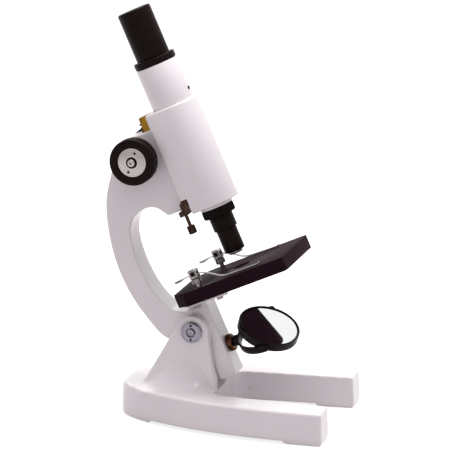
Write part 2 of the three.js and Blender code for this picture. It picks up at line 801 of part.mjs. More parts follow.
function bodyHousing() {
  const section = new THREE.Shape();
  const r = housingRadius;
  const c = housingRearRound;
  section.moveTo(housingRearX + c, -r);
  section.lineTo(opticalAxisX, -r);
  section.absarc(opticalAxisX, 0, r, -90 * deg, 90 * deg, false);
  section.lineTo(housingRearX + c, r);
  section.quadraticCurveTo(housingRearX, r, housingRearX, r - c);
  section.lineTo(housingRearX, c - r);
  section.quadraticCurveTo(housingRearX, -r, housingRearX + c, -r);
  const shell = layered(section, [
    [0.8, housingBottomZ],
    [0, housingBottomZ + 0.8],
    [0, housingTopZ - housingChamfer],
    [housingChamfer * 0.8, housingTopZ],
  ], 20);
  const onAxis = (g) => g.translate(opticalAxisX, 0, 0);
  const bore = onAxis(rod(housingBoreRadius, housingBottomZ + housingFloor, housingTopZ + 5, roundSteps));
  const socket = onAxis(rod(drawTubeRadius + fit, housingTopZ - drawTubeSocket, housingTopZ + 5, roundSteps));
  const thread = onAxis(rod(threadRadius + fit, housingBottomZ - 5, housingBottomZ + housingFloor + 1, 32));
  const notch = box(housingRearX - 5, housingRearX + notchDepth, -r - 5, r + 5, housingBottomZ - 5, notchTopZ);
  return cut(shell, bore, socket, thread, notch);
}

function setScrew(name, z, side) {
  const screw = turned(
    [
      [0, drawTubeRadius - 1.8],
      [setScrewRadius, drawTubeRadius - 1.8],
      [setScrewRadius, drawTubeRadius + setScrewProud],
      [0, drawTubeRadius + setScrewProud],
    ],
    14,
  );
  add(upper, name, alongX(screw, side).translate(opticalAxisX, 0, z), black);
}

function bodyTube() {
  const onAxis = (g) => g.translate(opticalAxisX, 0, 0);
  add(upper, "body_housing", bodyHousing(), white);
  const drawBottom = housingTopZ - drawTubeSocket + fit;
  const screwHole = (z, side) =>
    alongX(rod(setScrewRadius + fit, drawTubeRadius - 2.1, drawTubeRadius + 5, 14), side).translate(0, 0, z);
  const draw = cut(
    tube(drawTubeRadius - drawTubeWall, drawTubeRadius, drawBottom, drawTubeTopZ),
    screwHole(rearSetScrewZ, -1),
    screwHole(frontSetScrewZ, 1),
  );
  add(upper, "draw_tube", onAxis(draw), white);
  setScrew("set_screw_rear", rearSetScrewZ, -1);
  setScrew("set_screw_front", frontSetScrewZ, 1);
  const c = collarChamfer;
  const top = collarBottomZ + collarHeight;
  const collar = turned([
    [eyepieceBarrelRadius + fit, collarBottomZ],
    [collarRadius - c, collarBottomZ],
    [collarRadius, collarBottomZ + c],
    [collarRadius, top - c],
    [collarRadius - c, top],
    [eyepieceBarrelRadius + fit, top],
  ]);
  add(upper, "tube_collar", onAxis(collar), black);
}

function eyepiece() {
  const onAxis = (g) => g.translate(opticalAxisX, 0, 0);
  const barrelBottom = eyepieceBottomZ - eyepieceBarrelLength;
  const barrelBore = eyepieceBarrelRadius - eyepieceWall;
  const lensTop = eyepieceTopZ - 2.5;
  const seat = lensTop - eyeLensThickness - 1.2;
  const shell = turned([
    [barrelBore, barrelBottom],
    [eyepieceBarrelRadius, barrelBottom],
    [eyepieceBarrelRadius, eyepieceBottomZ],
    [eyepieceRadius, eyepieceBottomZ],
    [eyepieceRadius, eyepieceTopZ - 1],
    [eyepieceRadius - 1, eyepieceTopZ],
    [eyeApertureRadius + 2.5, eyepieceTopZ - 0.6],
    [eyeApertureRadius, lensTop],
    [eyeLensRadius + fit, lensTop],
    [eyeLensRadius + fit, seat],
    [barrelBore, seat],
  ]);
  add(upper, "eyepiece_shell", onAxis(shell), black);
  const eyeLens = turned(
    [
      [0, seat + 0.9],
      [eyeLensRadius, seat + 0.9],
      [eyeLensRadius, lensTop - 1.2],
      [eyeLensRadius * 0.6, lensTop - 0.6],
      [0, lensTop - fit],
    ],
    28,
  );
  add(upper, "eye_lens", onAxis(eyeLens), glass);
  const fieldRadius = barrelBore - fit;
  const fieldZ = barrelBottom + 3;
  const fieldLens = turned(
    [
      [0, fieldZ],
      [fieldRadius, fieldZ],
      [fieldRadius, fieldZ + 1.2],
      [fieldRadius * 0.6, fieldZ + fieldLensThickness * 0.8],
      [0, fieldZ + fieldLensThickness],
    ],
    28,
  );
  add(upper, "field_lens", onAxis(fieldLens), glass);
}

function focusSlide() {
  add(upper, "focus_slide", layered(slideSection(0), [[0, slideBottomZ], [0, slideTopZ]]), brass);
  const pitch = (2 * Math.PI * pinionRadius) / toothCount;
  const rack = new THREE.Shape();
  const rootX = rackToothTipX + toothDepth;
  const count = Math.floor((slideTopZ - slideBottomZ - 4) / pitch);
  const startZ = slideBottomZ + 2;
  rack.moveTo(rackFrontX, startZ);
  rack.lineTo(rackFrontX, startZ + count * pitch);
  rack.lineTo(rootX, startZ + count * pitch);
  for (let i = count - 1; i >= 0; i--) {
    const z = startZ + i * pitch;
    rack.lineTo(rootX, z + pitch * 0.85);
    rack.lineTo(rackToothTipX, z + pitch * 0.65);
    rack.lineTo(rackToothTipX, z + pitch * 0.35);
    rack.lineTo(rootX, z + pitch * 0.15);
  }
  rack.lineTo(rootX, startZ);
  add(upper, "focus_rack", sidePlate(rack, -rackHalfWidth, rackHalfWidth), brass);
}

function pinionShaft() {
  const gear = new THREE.Shape();
  const rootRadius = pinionRadius - toothDepth;
  for (let i = 0; i < toothCount; i++) {
    const corner = (share, r) => {
      const a = ((i + share) / toothCount) * 360 * deg;
      const x = r * Math.cos(a);
      const y = r * Math.sin(a);
      if (i === 0 && share === 0) gear.moveTo(x, y);
      else gear.lineTo(x, y);
    };
    corner(0, rootRadius);
    corner(0.15, rootRadius);
    corner(0.35, pinionRadius);
    corner(0.65, pinionRadius);
    corner(0.85, rootRadius);
  }
  const endY = knobDiscOuterY + fit;
  const teeth = layered(gear, [[0, -pinionHalfWidth], [0, pinionHalfWidth]]);
  const shaft = rod(shaftRadius, -endY, endY, 20);
  const whole = alongY(joined(teeth, shaft), 1).translate(pinionX, 0, pinionZ);
  add(upper, "pinion_shaft", whole, silver);
}

function focusKnobs() {
  const faceY = knobInnerY + knobThickness;
  const floorY = faceY - knobRecessDepth;
  const knobProfile = [
    [shaftRadius + fit, knobInnerY],
    [knobRadius - knobEdge, knobInnerY],
    [knobRadius, knobInnerY + knobEdge],
    [knobRadius, faceY - knobEdge],
    [knobRadius - knobEdge, faceY],
    [knobRecessRadius, faceY],
    [knobRecessRadius, floorY],
    [shaftRadius + fit, floorY],
  ];
  const discProfile = [
    [shaftRadius + fit, floorY + fit],
    [knobRecessRadius - fit, floorY + fit],
    [knobRecessRadius - fit, knobDiscOuterY - 0.5],
    [knobRecessRadius - fit - 0.5, knobDiscOuterY],
    [shaftRadius + fit, knobDiscOuterY],
  ];
  const capY = knobDiscOuterY + 2 * fit;
  const capProfile = [
    [centreDrillRadius, capY],
    [hubCapRadius, capY],
    [hubCapRadius, capY + hubCapHeight * 0.5],
    [hubCapRadius - 1.2, capY + hubCapHeight],
    [centreDrillRadius, capY + hubCapHeight],
  ];
  for (const side of [-1, 1]) {
    const end = side < 0 ? "near" : "far";
    const place = (g) => alongY(g, side).translate(pinionX, 0, pinionZ);
    add(upper, "focus_knob_" + end, place(turned(knobProfile, 36)), black);
    const holes = spannerHoles(knobSpannerOffset, 115, floorY, knobDiscOuterY + 2);
    add(upper, "knob_disc_" + end, place(cut(turned(discProfile), ...holes)), silver);
    add(upper, "hub_cap_" + end, place(turned(capProfile, 24)), silver);
  }
}

function objective() {
  const onAxis = (g) => g.translate(opticalAxisX, 0, 0);
  const ring = tube(threadRadius + fit, mountRingRadius, mountRingTopZ - mountRingHeight, mountRingTopZ);
  add(upper, "objective_mount_ring", onAxis(ring), white);
  const flangeBottom = objectiveTopZ - objectiveFlangeHeight;
  const body = turned([
    [objectiveBoreRadius, flangeBottom],
    [objectiveFlangeRadius - 0.5, flangeBottom],
    [objectiveFlangeRadius, flangeBottom + 0.5],
    [objectiveFlangeRadius, objectiveTopZ],
    [threadRadius, objectiveTopZ],
    [threadRadius, objectiveTopZ + mountRingHeight + threadLength],
    [objectiveBoreRadius, objectiveTopZ + mountRingHeight + threadLength],
  ]);
  add(upper, "objective_flange", onAxis(body), black);
  const barrelTop = flangeBottom - fit;
  const barrelBottom = barrelTop - objectiveBodyHeight + fit;
  const barrel = tube(objectiveBoreRadius, objectiveBodyRadius, barrelBottom, barrelTop, 36);
  add(upper, "objective_barrel", onAxis(barrel), black);
  const tipTop = barrelBottom - fit;
  const tip = turned(
    [
      [objectiveBoreRadius, frontRingZ],
      [objectiveTipRadius - 0.8, frontRingZ],
      [objectiveTipRadius, frontRingZ + 0.8],
      [objectiveTipRadius, tipTop - 0.4],
      [objectiveTipRadius - 0.4, tipTop],
      [objectiveBoreRadius, tipTop],
    ],
    36,
  );
  add(upper, "objective_tip", onAxis(tip), black);
  const ringTop = frontRingZ - fit;
  const lensBore = frontLensRadius + fit;
  const front = turned(
    [
      [lensBore, ringTop - frontRingHeight],
      [frontRingRadius - 1, ringTop - frontRingHeight],
      [frontRingRadius, ringTop - frontRingHeight * 0.5],
      [frontRingRadius, ringTop],
      [lensBore, ringTop],
    ],
    28,
  );
  add(upper, "objective_front_ring", onAxis(front), silver);
  const lens = rod(frontLensRadius, ringTop - frontRingHeight + 0.4, ringTop - fit, 20);
  add(upper, "objective_front_lens", onAxis(lens), glass);
}

function rackStop() {
  const rearX = housingRearX;
  const topZ = notchTopZ - fit;
  const block = box(rearX, rearX + stopBlockDepth, stopY - stopBlockWidth / 2, stopY + stopBlockWidth / 2,
    topZ - stopBlockHeight, topZ);
  const legBottom = topZ - stopBlockHeight - stopLegHeight;
  const leg = box(rearX - 0.5, rearX + 3.6, stopY - 2, stopY + 2, legBottom, topZ - stopBlockHeight + 1);
  const lip = box(rearX - 6, rearX + 1, stopY - 2, -armHalfWidth + 8, legBottom - 0.8, armChinZ - fit);
  const bore = rod(stopScrewRadius + fit, legBottom - 5, topZ - 1.5, 16).translate(stopScrewX, stopY, 0);
  add(upper, "rack_stop_block", cut(joined(block, leg, lip), bore), bronze);
  const screwTop = topZ - 2;
  const headTop = legBottom - stopScrewLength;
  const screw = turned(
    [
      [0, headTop - stopHeadHeight],
      [stopHeadRadius - 1, headTop - stopHeadHeight],
      [stopHeadRadius, headTop - stopHeadHeight + 1],
      [stopHeadRadius, headTop - 1],
      [stopHeadRadius - 1, headTop],
      [stopScrewRadius, headTop],
      [stopScrewRadius, screwTop],
      [0, screwTop],
    ],
    20,
  );
  add(upper, "rack_stop_screw", screw.translate(stopScrewX, stopY, 0), bronze);
}

add(stand, "base_casting", baseCasting(), white);
hinge();
add(upper, "arm_casting", armCasting(), white);
add(upper, "stage_plate", stagePlate(), black);
stageScrews();
clips();
mirror();
bodyTube();
eyepiece();
focusSlide();
pinionShaft();
focusKnobs();
objective();
rackStop();

// The origin sits under the middle of the whole
root.updateMatrixWorld(true);
const bounds = new THREE.Box3().setFromObject(root, true);
stand.position.set(-(bounds.min.x + bounds.max.x) / 2, 0, -bounds.min.z);

export default root;
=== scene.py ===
import bpy
import bmesh
import json
import math
from mathutils import Matrix, Vector


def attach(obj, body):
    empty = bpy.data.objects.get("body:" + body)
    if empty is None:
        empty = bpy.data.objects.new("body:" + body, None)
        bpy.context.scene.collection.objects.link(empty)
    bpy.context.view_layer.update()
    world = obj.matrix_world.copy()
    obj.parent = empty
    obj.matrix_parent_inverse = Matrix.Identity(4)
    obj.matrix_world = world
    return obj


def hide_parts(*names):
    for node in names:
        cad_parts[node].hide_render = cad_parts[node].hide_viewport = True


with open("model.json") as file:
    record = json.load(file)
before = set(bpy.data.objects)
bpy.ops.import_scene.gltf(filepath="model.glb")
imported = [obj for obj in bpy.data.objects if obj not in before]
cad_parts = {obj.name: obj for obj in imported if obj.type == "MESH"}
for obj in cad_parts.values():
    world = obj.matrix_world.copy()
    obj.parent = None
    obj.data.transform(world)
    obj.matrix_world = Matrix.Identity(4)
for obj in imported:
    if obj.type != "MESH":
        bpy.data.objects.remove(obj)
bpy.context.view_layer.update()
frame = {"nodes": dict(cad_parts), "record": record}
mm = 0.001
joints = {j["name"]: j for j in frame["record"]["behaviour"]["joints"]}

# Where things sit: the leaning frame and the frames inside it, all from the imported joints
pivot = Vector(joints["inclination"]["pos_m"])
opticalAxis = Vector(joints["coarse_focus"]["axis"])
lean = math.atan2(opticalAxis.x, opticalAxis.z)
footFrame = Matrix.Translation((pivot.x, 0, 0))
upperFrame = Matrix.Translation(pivot) @ Matrix.Rotation(lean, 4, "Y")
toUpper = upperFrame.inverted()


def upperPoint(jointName):
    return toUpper @ Vector(joints[jointName]["pos_m"])


def upperBox(node):
    points = [toUpper @ v.co for v in frame["nodes"][node].data.vertices]
    low = Vector([min(p[i] for p in points) for i in range(3)])
    high = Vector([max(p[i] for p in points) for i in range(3)])
    return low, high


opticalX = (upperBox("draw_tube")[0].x + upperBox("draw_tube")[1].x) / 2


def axisFrame(parent, point, side):  # its Z runs out of the object's side, -1 towards the near side
    return parent @ Matrix.Translation(point) @ Matrix.Rotation(math.radians(-90 * side), 4, "X")


# Camera
cameraSpec = {"location": (0.65146, -2.27854, 0.73043), "tilt": 76.49, "turn": 15.97, "lens": 238.6}
bpy.ops.object.camera_add(
    location=cameraSpec["location"],
    rotation=(math.radians(cameraSpec["tilt"]), 0, math.radians(cameraSpec["turn"])),
)
camera = bpy.context.object
camera.data.lens = cameraSpec["lens"]
camera.data.sensor_width = 36
camera.data.clip_end = 20
bpy.context.scene.camera = camera
print("camera placed")


# Materials
def linear(hexColour):
    parts = [int(hexColour[i:i + 2], 16) / 255 for i in (1, 3, 5)]
    return tuple(p / 12.92 if p <= 0.04045 else ((p + 0.055) / 1.055) ** 2.4 for p in parts) + (1,)


def addNode(tree, kind, settings=None, links=None):
    node = tree.nodes.new(kind)
    for key, value in (settings or {}).items():
        if isinstance(key, int) or key in node.inputs:
            node.inputs[key].default_value = value
        else:
            setattr(node, key, value)
    for key, (source, output) in (links or {}).items():
        tree.links.new(source.outputs[output], node.inputs[key])
    return node


def newMaterial(name):
    material = bpy.data.materials.new(name)
    material.use_nodes = True
    tree = material.node_tree
    tree.nodes.clear()
    place = addNode(tree, "ShaderNodeTexCoord")
    output = addNode(tree, "ShaderNodeOutputMaterial")
    return material, tree, place, output


def perMetre(spacingMm):  # noise scale whose features are about this far apart
    return 1 / (spacingMm * mm)


def mixedColour(tree, factor, lowColour, highColour):
    return addNode(
        tree, "ShaderNodeMix", {"data_type": "RGBA", 6: linear(lowColour), 7: linear(highColour)}, {0: factor}
    )


# Gloss enamel sprayed on a casting: clean white, a faint orange peel, here and there a pinhole
enamel = {
    "colour": "#f4eff1", "cloud": "#e9e3e7", "cloudSpacing": 60, "peelSpacing": 3.2, "peelDepth": 0.00006,
    "pinhole": "#b3a8a2", "pinholeSpacing": 26, "pinholeSize": 0.022, "roughLow": 0.24, "roughHigh": 0.36,
    "coat": 0.35, "coatRough": 0.1,
}


def enamelMaterial(name, spec, peelDepth):
    material, tree, place, output = newMaterial(name)
    at = {"Vector": (place, "Object")}
    cloud = addNode(tree, "ShaderNodeTexNoise", {"Scale": perMetre(spec["cloudSpacing"]), "Detail": 3.0}, at)
    cloudy = mixedColour(tree, (cloud, 0), spec["colour"], spec["cloud"])
    cells = addNode(tree, "ShaderNodeTexVoronoi", {"Scale": perMetre(spec["pinholeSpacing"])}, at)
    pinhole = addNode(
        tree, "ShaderNodeMapRange",
        {"From Min": spec["pinholeSize"], "From Max": spec["pinholeSize"] * 1.6, "To Min": 1.0, "To Max": 0.0},
        {"Value": (cells, "Distance")},
    )
    spotted = addNode(
        tree, "ShaderNodeMix", {"data_type": "RGBA", 7: linear(spec["pinhole"])},
        {0: (pinhole, 0), 6: (cloudy, 2)},
    )
    peel = addNode(tree, "ShaderNodeTexNoise", {"Scale": perMetre(spec["peelSpacing"]), "Detail": 2.0}, at)
    bump = addNode(
        tree, "ShaderNodeBump", {"Strength": 0.6, "Distance": peelDepth}, {"Height": (peel, 0)}
    )
    rough = addNode(
        tree, "ShaderNodeMapRange", {"To Min": spec["roughLow"], "To Max": spec["roughHigh"]},
        {"Value": (cloud, 0)}
    )
    shader = addNode(
        tree, "ShaderNodeBsdfPrincipled",
        {"IOR": 1.5, "Coat Weight": spec["coat"], "Coat Roughness": spec["coatRough"]},
        {"Base Color": (spotted, 2), "Roughness": (rough, 0), "Normal": (bump, 0)},
    )
    tree.links.new(shader.outputs[0], output.inputs[0])
    return material


# Moulded phenolic or satin paint: near black with a warm cast, fine grain, dulled where it is handled
def blackMaterial(name, spec):
    material, tree, place, output = newMaterial(name)
    at = {"Vector": (place, "Object")}
    wear = addNode(tree, "ShaderNodeTexNoise", {"Scale": perMetre(spec["wearSpacing"]), "Detail": 4.0}, at)
    grain = addNode(tree, "ShaderNodeTexNoise", {"Scale": perMetre(spec["grainSpacing"]), "Detail": 2.0}, at)
    colour = mixedColour(tree, (wear, 0), spec["colour"], spec["worn"])
    rough = addNode(
        tree, "ShaderNodeMapRange", {"To Min": spec["roughLow"], "To Max": spec["roughHigh"]},
        {"Value": (wear, 0)}
    )
    bump = addNode(
        tree, "ShaderNodeBump", {"Strength": spec["grain"], "Distance": 0.0001}, {"Height": (grain, 0)}
    )
    shader = addNode(
        tree, "ShaderNodeBsdfPrincipled",
        {"IOR": spec["ior"], "Specular IOR Level": spec["gloss"], "Sheen Weight": spec["sheen"],
         "Sheen Roughness": 0.5, "Sheen Tint": linear(spec["sheenTint"])},
        {"Base Color": (colour, 2), "Roughness": (rough, 0), "Normal": (bump, 0)},
    )
    tree.links.new(shader.outputs[0], output.inputs[0])
    return material


# Plated or turned metal: concentric tool marks about the piece's own axis, faint stains.
# The rings lie about X, Y or Z, or with "W" about the leaning axis of the tube.
def turnedMaterial(name, spec, centre, direction):
    material, tree, place, output = newMaterial(name)
    centred = addNode(
        tree, "ShaderNodeMapping", {"vector_type": "POINT", "Location": tuple(-c for c in centre)},
        {"Vector": (place, "Object")},
    )
    if direction == "W":
        centred = addNode(
            tree, "ShaderNodeMapping", {"vector_type": "POINT", "Rotation": (0, -lean, 0)},
            {"Vector": (centred, 0)},
        )
    rings = addNode(
        tree, "ShaderNodeTexWave",
        {"wave_type": "RINGS", "rings_direction": "Z" if direction == "W" else direction,
         "Scale": 0.314 / (spec["ringSpacing"] * mm), "Distortion": 1.2, "Detail": 2.0},
        {"Vector": (centred, 0)},
    )
    stain = addNode(
        tree, "ShaderNodeTexNoise", {"Scale": perMetre(spec["stainSpacing"]), "Detail": 4.0},
        {"Vector": (place, "Object")},
    )
    marked = addNode(
        tree, "ShaderNodeMath", {"operation": "MULTIPLY", 1: spec["turning"]}, {0: (rings, 1)}
    )
    either = addNode(tree, "ShaderNodeMath", {"operation": "MAXIMUM"}, {0: (stain, 0), 1: (marked, 0)})
    colour = mixedColour(tree, (either, 0), spec["colour"], spec["stain"])
    rough = addNode(
        tree, "ShaderNodeMapRange", {"To Min": spec["roughLow"], "To Max": spec["roughHigh"]},
        {"Value": (stain, 0)}
    )
    bump = addNode(
        tree, "ShaderNodeBump", {"Strength": spec["marks"], "Distance": 0.00005}, {"Height": (rings, 1)}
    )
    shader = addNode(
        tree, "ShaderNodeBsdfPrincipled", {"Metallic": 1.0},
        {"Base Color": (colour, 2), "Roughness": (rough, 0), "Normal": (bump, 0)},
    )
    tree.links.new(shader.outputs[0], output.inputs[0])
    return material


# Silvered or polished crown glass: nearly clean, a faint smear that dulls it in patches
def glassMaterial(name, spec):
    material, tree, place, output = newMaterial(name)
    smear = addNode(
        tree, "ShaderNodeTexNoise", {"Scale": perMetre(spec["smearSpacing"]), "Detail": 5.0},
        {"Vector": (place, "Object")},
    )
    rough = addNode(
        tree, "ShaderNodeMapRange", {"To Min": spec["roughLow"], "To Max": spec["roughHigh"]},
        {"Value": (smear, 0)}
    )
    tint = mixedColour(tree, (smear, 0), spec["colour"], spec["smear"])
    shader = addNode(
        tree, "ShaderNodeBsdfPrincipled", spec["sockets"], {"Base Color": (tint, 2), "Roughness": (rough, 0)}
    )
    tree.links.new(shader.outputs[0], output.inputs[0])
    return material


# Moulded phenolic, polished by the mould: brown black with a soft shine
phenolic = {
    "gloss": 0.045, "colour": "#140b09", "worn": "#1e1312", "wearSpacing": 9, "grainSpacing": 0.9,
    "grain": 0.25, "roughLow": 0.26, "roughHigh": 0.4, "ior": 1.55, "sheen": 0.0, "sheenTint": "#ffffff",
}
# Satin stoving paint on the stage: plum black, almost no mirror shine so that slides are seen well
stagePaint = {
    "gloss": 0.006, "colour": "#1f1217", "worn": "#2c1a24", "wearSpacing": 17, "grainSpacing": 1.4,
    "grain": 0.35, "roughLow": 0.34, "roughHigh": 0.5, "ior": 1.5, "sheen": 0.02, "sheenTint": "#b08a9e",
}
# Gloss black paint on the mirror's fork and cell: the shiniest of the blacks
framePaint = {
    "gloss": 0.08, "colour": "#110a0a", "worn": "#1d1414", "wearSpacing": 7, "grainSpacing": 1.1,
    "grain": 0.2, "roughLow": 0.22, "roughHigh": 0.38, "ior": 1.5, "sheen": 0.0, "sheenTint": "#ffffff",
}
# Nickel plate on spring steel and small screws: grey, darker than the discs' plate as painted shade and painted
# reflection of the black stage, and dulled by handling
shadedClipNickel = {
    "colour": "#9a9494", "stain": "#746d6c", "ringSpacing": 1.3, "stainSpacing": 5, "marks": 0.4,
    "roughLow": 0.16, "roughHigh": 0.3, "turning": 0.6,
}
# Nickel plate on the faced discs: pale, with fine rings, coarser here than the real tool marks
nickel = {
    "colour": "#c4bcbc", "stain": "#8d8584", "ringSpacing": 1.9, "stainSpacing": 8, "marks": 0.2,
    "roughLow": 0.14, "roughHigh": 0.28, "turning": 0.9,
}
# The same plate, darker, a little bluer and duller: painted shade for the hinge, which sits in shadow
shadedHingeNickel = dict(nickel, colour="#9d9aa3", stain="#716d76")
# Milled brass gone yellow brown
agedBrass = {
    "colour": "#a37c2c", "stain": "#5f4317", "ringSpacing": 2.5, "stainSpacing": 6, "marks": 0.2,
    "roughLow": 0.24, "roughHigh": 0.42, "turning": 0.3,
}
# Oxidised bronze of the mirror nut: red brown with dark stains
nutBronze = {
    "colour": "#66452f", "stain": "#3c2418", "ringSpacing": 1.6, "stainSpacing": 3, "marks": 0.4,
    "roughLow": 0.24, "roughHigh": 0.4, "turning": 0.5,
}
# The same bronze, darker, on the rack and its stop; on the rack the darkness is painted shade
darkBronze = {
    "colour": "#4a382d", "stain": "#261912", "ringSpacing": 1.6, "stainSpacing": 4, "marks": 0.4,
    "roughLow": 0.3, "roughHigh": 0.46, "turning": 0.3,
}
# Silvered glass: mirrors what is about it
silvering = {
    "colour": "#fafafb", "smear": "#f0f0f3", "smearSpacing": 14, "roughLow": 0.02, "roughHigh": 0.06,
    "sockets": {"Metallic": 1.0},
}
# Polished crown glass of the lenses
crown = {
    "colour": "#eef3f5", "smear": "#e2eaee", "smearSpacing": 14, "roughLow": 0.01, "roughHigh": 0.05,
    "sockets": {"IOR": 1.52, "Transmission Weight": 0.9},
}

def jointPoint(name):
    return Vector(joints[name]["pos_m"])


pinionPoint = jointPoint("pinion_turn")
mirrorPoint = jointPoint("fork_spin")
axisPoint = upperFrame @ Vector((opticalX, 0, 0))
materials = {
    "casting": enamelMaterial("cast_iron_gloss_enamel", enamel, enamel["peelDepth"]),
    "tube": enamelMaterial("turned_tube_gloss_enamel", dict(enamel, pinholeSize=0.0), 0.00002),
    "phenolic": blackMaterial("moulded_black_phenolic", phenolic),
    "stage": blackMaterial("satin_black_stage_paint", stagePaint),
    "framePaint": blackMaterial("gloss_black_mirror_frame_paint", framePaint),
    "shadedHingePlate": turnedMaterial("nickel_plate_hinge_painted_shade", shadedHingeNickel, pivot, "Y"),
    "nickelPinion": turnedMaterial("nickel_plate_pinion", nickel, pinionPoint, "Y"),
    "nickelClipNear": turnedMaterial("nickel_plate_clip_near_painted_shade", shadedClipNickel, jointPoint("clip_near_swivel"), "W"),
    "nickelClipFar": turnedMaterial("nickel_plate_clip_far", shadedClipNickel, jointPoint("clip_far_swivel"), "W"),
    "nickelAxis": turnedMaterial("nickel_plate_objective", nickel, axisPoint, "W"),
    "brass": turnedMaterial("milled_aged_brass", agedBrass, axisPoint, "W"),
    "bronzeNut": turnedMaterial("dark_bronze_nut", nutBronze, mirrorPoint, "X"),
    "bronzeStop": turnedMaterial("dark_bronze_stop", darkBronze, jointPoint("stop_screw_turn"), "W"),
    "mirror": glassMaterial("silvered_glass", silvering),
    "lens": glassMaterial("polished_crown_glass", crown),
}
print("materials made:", len(materials))


# Modelling helpers
def startPiece():
    if bpy.context.object and bpy.context.object.mode != "OBJECT":
        bpy.ops.object.mode_set(mode="OBJECT")
    bpy.ops.object.select_all(action="DESELECT")


def only(piece):
    startPiece()
    piece.select_set(True)
    bpy.context.view_layer.objects.active = piece


def extrudeBy(move, scale=None, centre=None):
    bpy.ops.mesh.extrude_region_move(TRANSFORM_OT_translate={"value": tuple(move)})
    if scale:
        bpy.ops.transform.resize(value=scale, center_override=tuple(centre))


def closeUp(merge=0.00001):
    bpy.ops.mesh.select_all(action="SELECT")
    bpy.ops.mesh.remove_doubles(threshold=merge)
    bpy.ops.mesh.normals_make_consistent(inside=False)
    bpy.ops.object.mode_set(mode="OBJECT")


# A profile of [radius, height] in mm turned about Z: a circle is extruded and scaled from ring to ring.
# A hollow piece comes back to its first ring; a solid one gets both ends filled.
def turnPiece(name, profile, steps=96, hollow=False):
    startPiece()
    radius, height = profile[0]
    bpy.ops.mesh.primitive_circle_add(
        vertices=steps, radius=radius * mm, fill_type="NOTHING", location=(0, 0, height * mm)
    )
    piece = bpy.context.object
    piece.name = name
    bpy.ops.object.mode_set(mode="EDIT")
    bpy.ops.mesh.select_mode(type="VERT")
    bpy.ops.mesh.select_all(action="SELECT")
    for nextRadius, nextHeight in profile[1:]:
        k = nextRadius / radius
        extrudeBy((0, 0, (nextHeight - height) * mm), (k, k, 1), (0, 0, nextHeight * mm))
        radius, height = nextRadius, nextHeight
    bpy.ops.mesh.select_all(action="SELECT")
    if not hollow:
        bpy.ops.mesh.fill_holes(sides=0)
    closeUp(0.000002)
    bpy.ops.object.transform_apply(location=True, rotation=True, scale=True)
    return piece


# Points traced one after another with a single vertex, then filled
def tracePiece(name, points):
    startPiece()
    bpy.ops.mesh.primitive_plane_add(size=0.001, location=tuple(points[0]))
    piece = bpy.context.object
    piece.name = name
    bpy.ops.object.mode_set(mode="EDIT")
    bpy.ops.mesh.select_mode(type="VERT")
    bpy.ops.mesh.select_all(action="SELECT")
    bpy.ops.mesh.merge(type="CENTER")
    for before, after in zip(points, points[1:]):
        extrudeBy(Vector(after) - Vector(before))
    bpy.ops.mesh.select_all(action="SELECT")
    bpy.ops.mesh.edge_face_add()
    return piece


def flatPiece(name, outline, low, high, plane="XY", topScale=None, topCentre=None):
    if plane == "XY":
        points = [(x * mm, y * mm, low * mm) for x, y in outline]
        move = (0, 0, (high - low) * mm)
    else:
        points = [(x * mm, low * mm, z * mm) for x, z in outline]
        move = (0, (high - low) * mm, 0)
    piece = tracePiece(name, points)
    bpy.ops.mesh.select_all(action="SELECT")
    extrudeBy(move, topScale, topCentre)
    closeUp()
    bpy.ops.object.transform_apply(location=True, rotation=True, scale=True)
    return piece


# An edge extruded from station to station: (x, z, half width) in mm, then given its thickness
def stripPiece(name, stations, thickness, plane="XZ", saddle=None):
    startPiece()
    x, z, half = stations[0]
    bpy.ops.mesh.primitive_plane_add(size=0.001)
    piece = bpy.context.object
    piece.name = name
    bpy.ops.object.mode_set(mode="EDIT")
    bpy.ops.mesh.select_mode(type="VERT")
    bpy.ops.mesh.select_all(action="SELECT")
    bpy.ops.mesh.merge(type="CENTER")
    wide = Vector((0, 1, 0)) if plane == "XZ" else Vector((0, 0, 1))

    def spot(px, pz):
        return Vector((px * mm, 0, pz * mm)) if plane == "XZ" else Vector((px * mm, pz * mm, 0))

    bpy.ops.transform.translate(value=tuple(spot(x, z) - wide * half * mm))
    extrudeBy(wide * (2 * half * mm))
    bpy.ops.mesh.select_all(action="SELECT")
    for nx, nz, nextHalf in stations[1:]:
        k = nextHalf / half
        scale = (1, k, 1) if plane == "XZ" else (1, 1, k)
        extrudeBy(spot(nx, nz) - spot(x, z), scale, spot(nx, nz))
        x, z, half = nx, nz, nextHalf
    if saddle:
        bpy.ops.mesh.select_all(action="SELECT")
        bpy.ops.mesh.subdivide(number_cuts=3)
        mesh = bmesh.from_edit_mesh(piece.data)
        for v in mesh.verts:  # the paddle is pressed into a shallow saddle, its long edges turned down
            paddle = min(max((saddle["from"] - v.co.x / mm) / saddle["over"], 0), 1)
            v.co.z -= paddle * saddle["depth"] * mm * (v.co.y / (saddle["half"] * mm)) ** 2
        bmesh.update_edit_mesh(piece.data)
    closeUp()
    bpy.ops.object.transform_apply(location=True, rotation=True, scale=True)
    applyModifier(piece, "SOLIDIFY", {"thickness": thickness * mm, "offset": 0.0})
    return piece


def boxPiece(name, low, high):
    startPiece()
    low, high = Vector(low) * mm, Vector(high) * mm
    bpy.ops.mesh.primitive_cube_add(size=1, location=tuple((low + high) / 2), scale=tuple(high - low))
    piece = bpy.context.object
    piece.name = name
    bpy.ops.object.transform_apply(location=True, rotation=True, scale=True)
    return piece


def applyModifier(piece, kind, settings):
    only(piece)
    modifier = piece.modifiers.new(kind.title(), kind)
    for key, value in settings.items():
        setattr(modifier, key, value)
    bpy.ops.object.modifier_apply(modifier=modifier.name)
    return piece


def bevelled(piece, width, segments=3, angle=30):
    return applyModifier(piece, "BEVEL", {
        "width": width * mm, "segments": segments, "limit_method": "ANGLE",
        "angle_limit": math.radians(angle), "harden_normals": False,
    })


def joinPieces(first, *others):
    only(first)
    for other in others:
        other.select_set(True)
    bpy.ops.object.join()
    return first


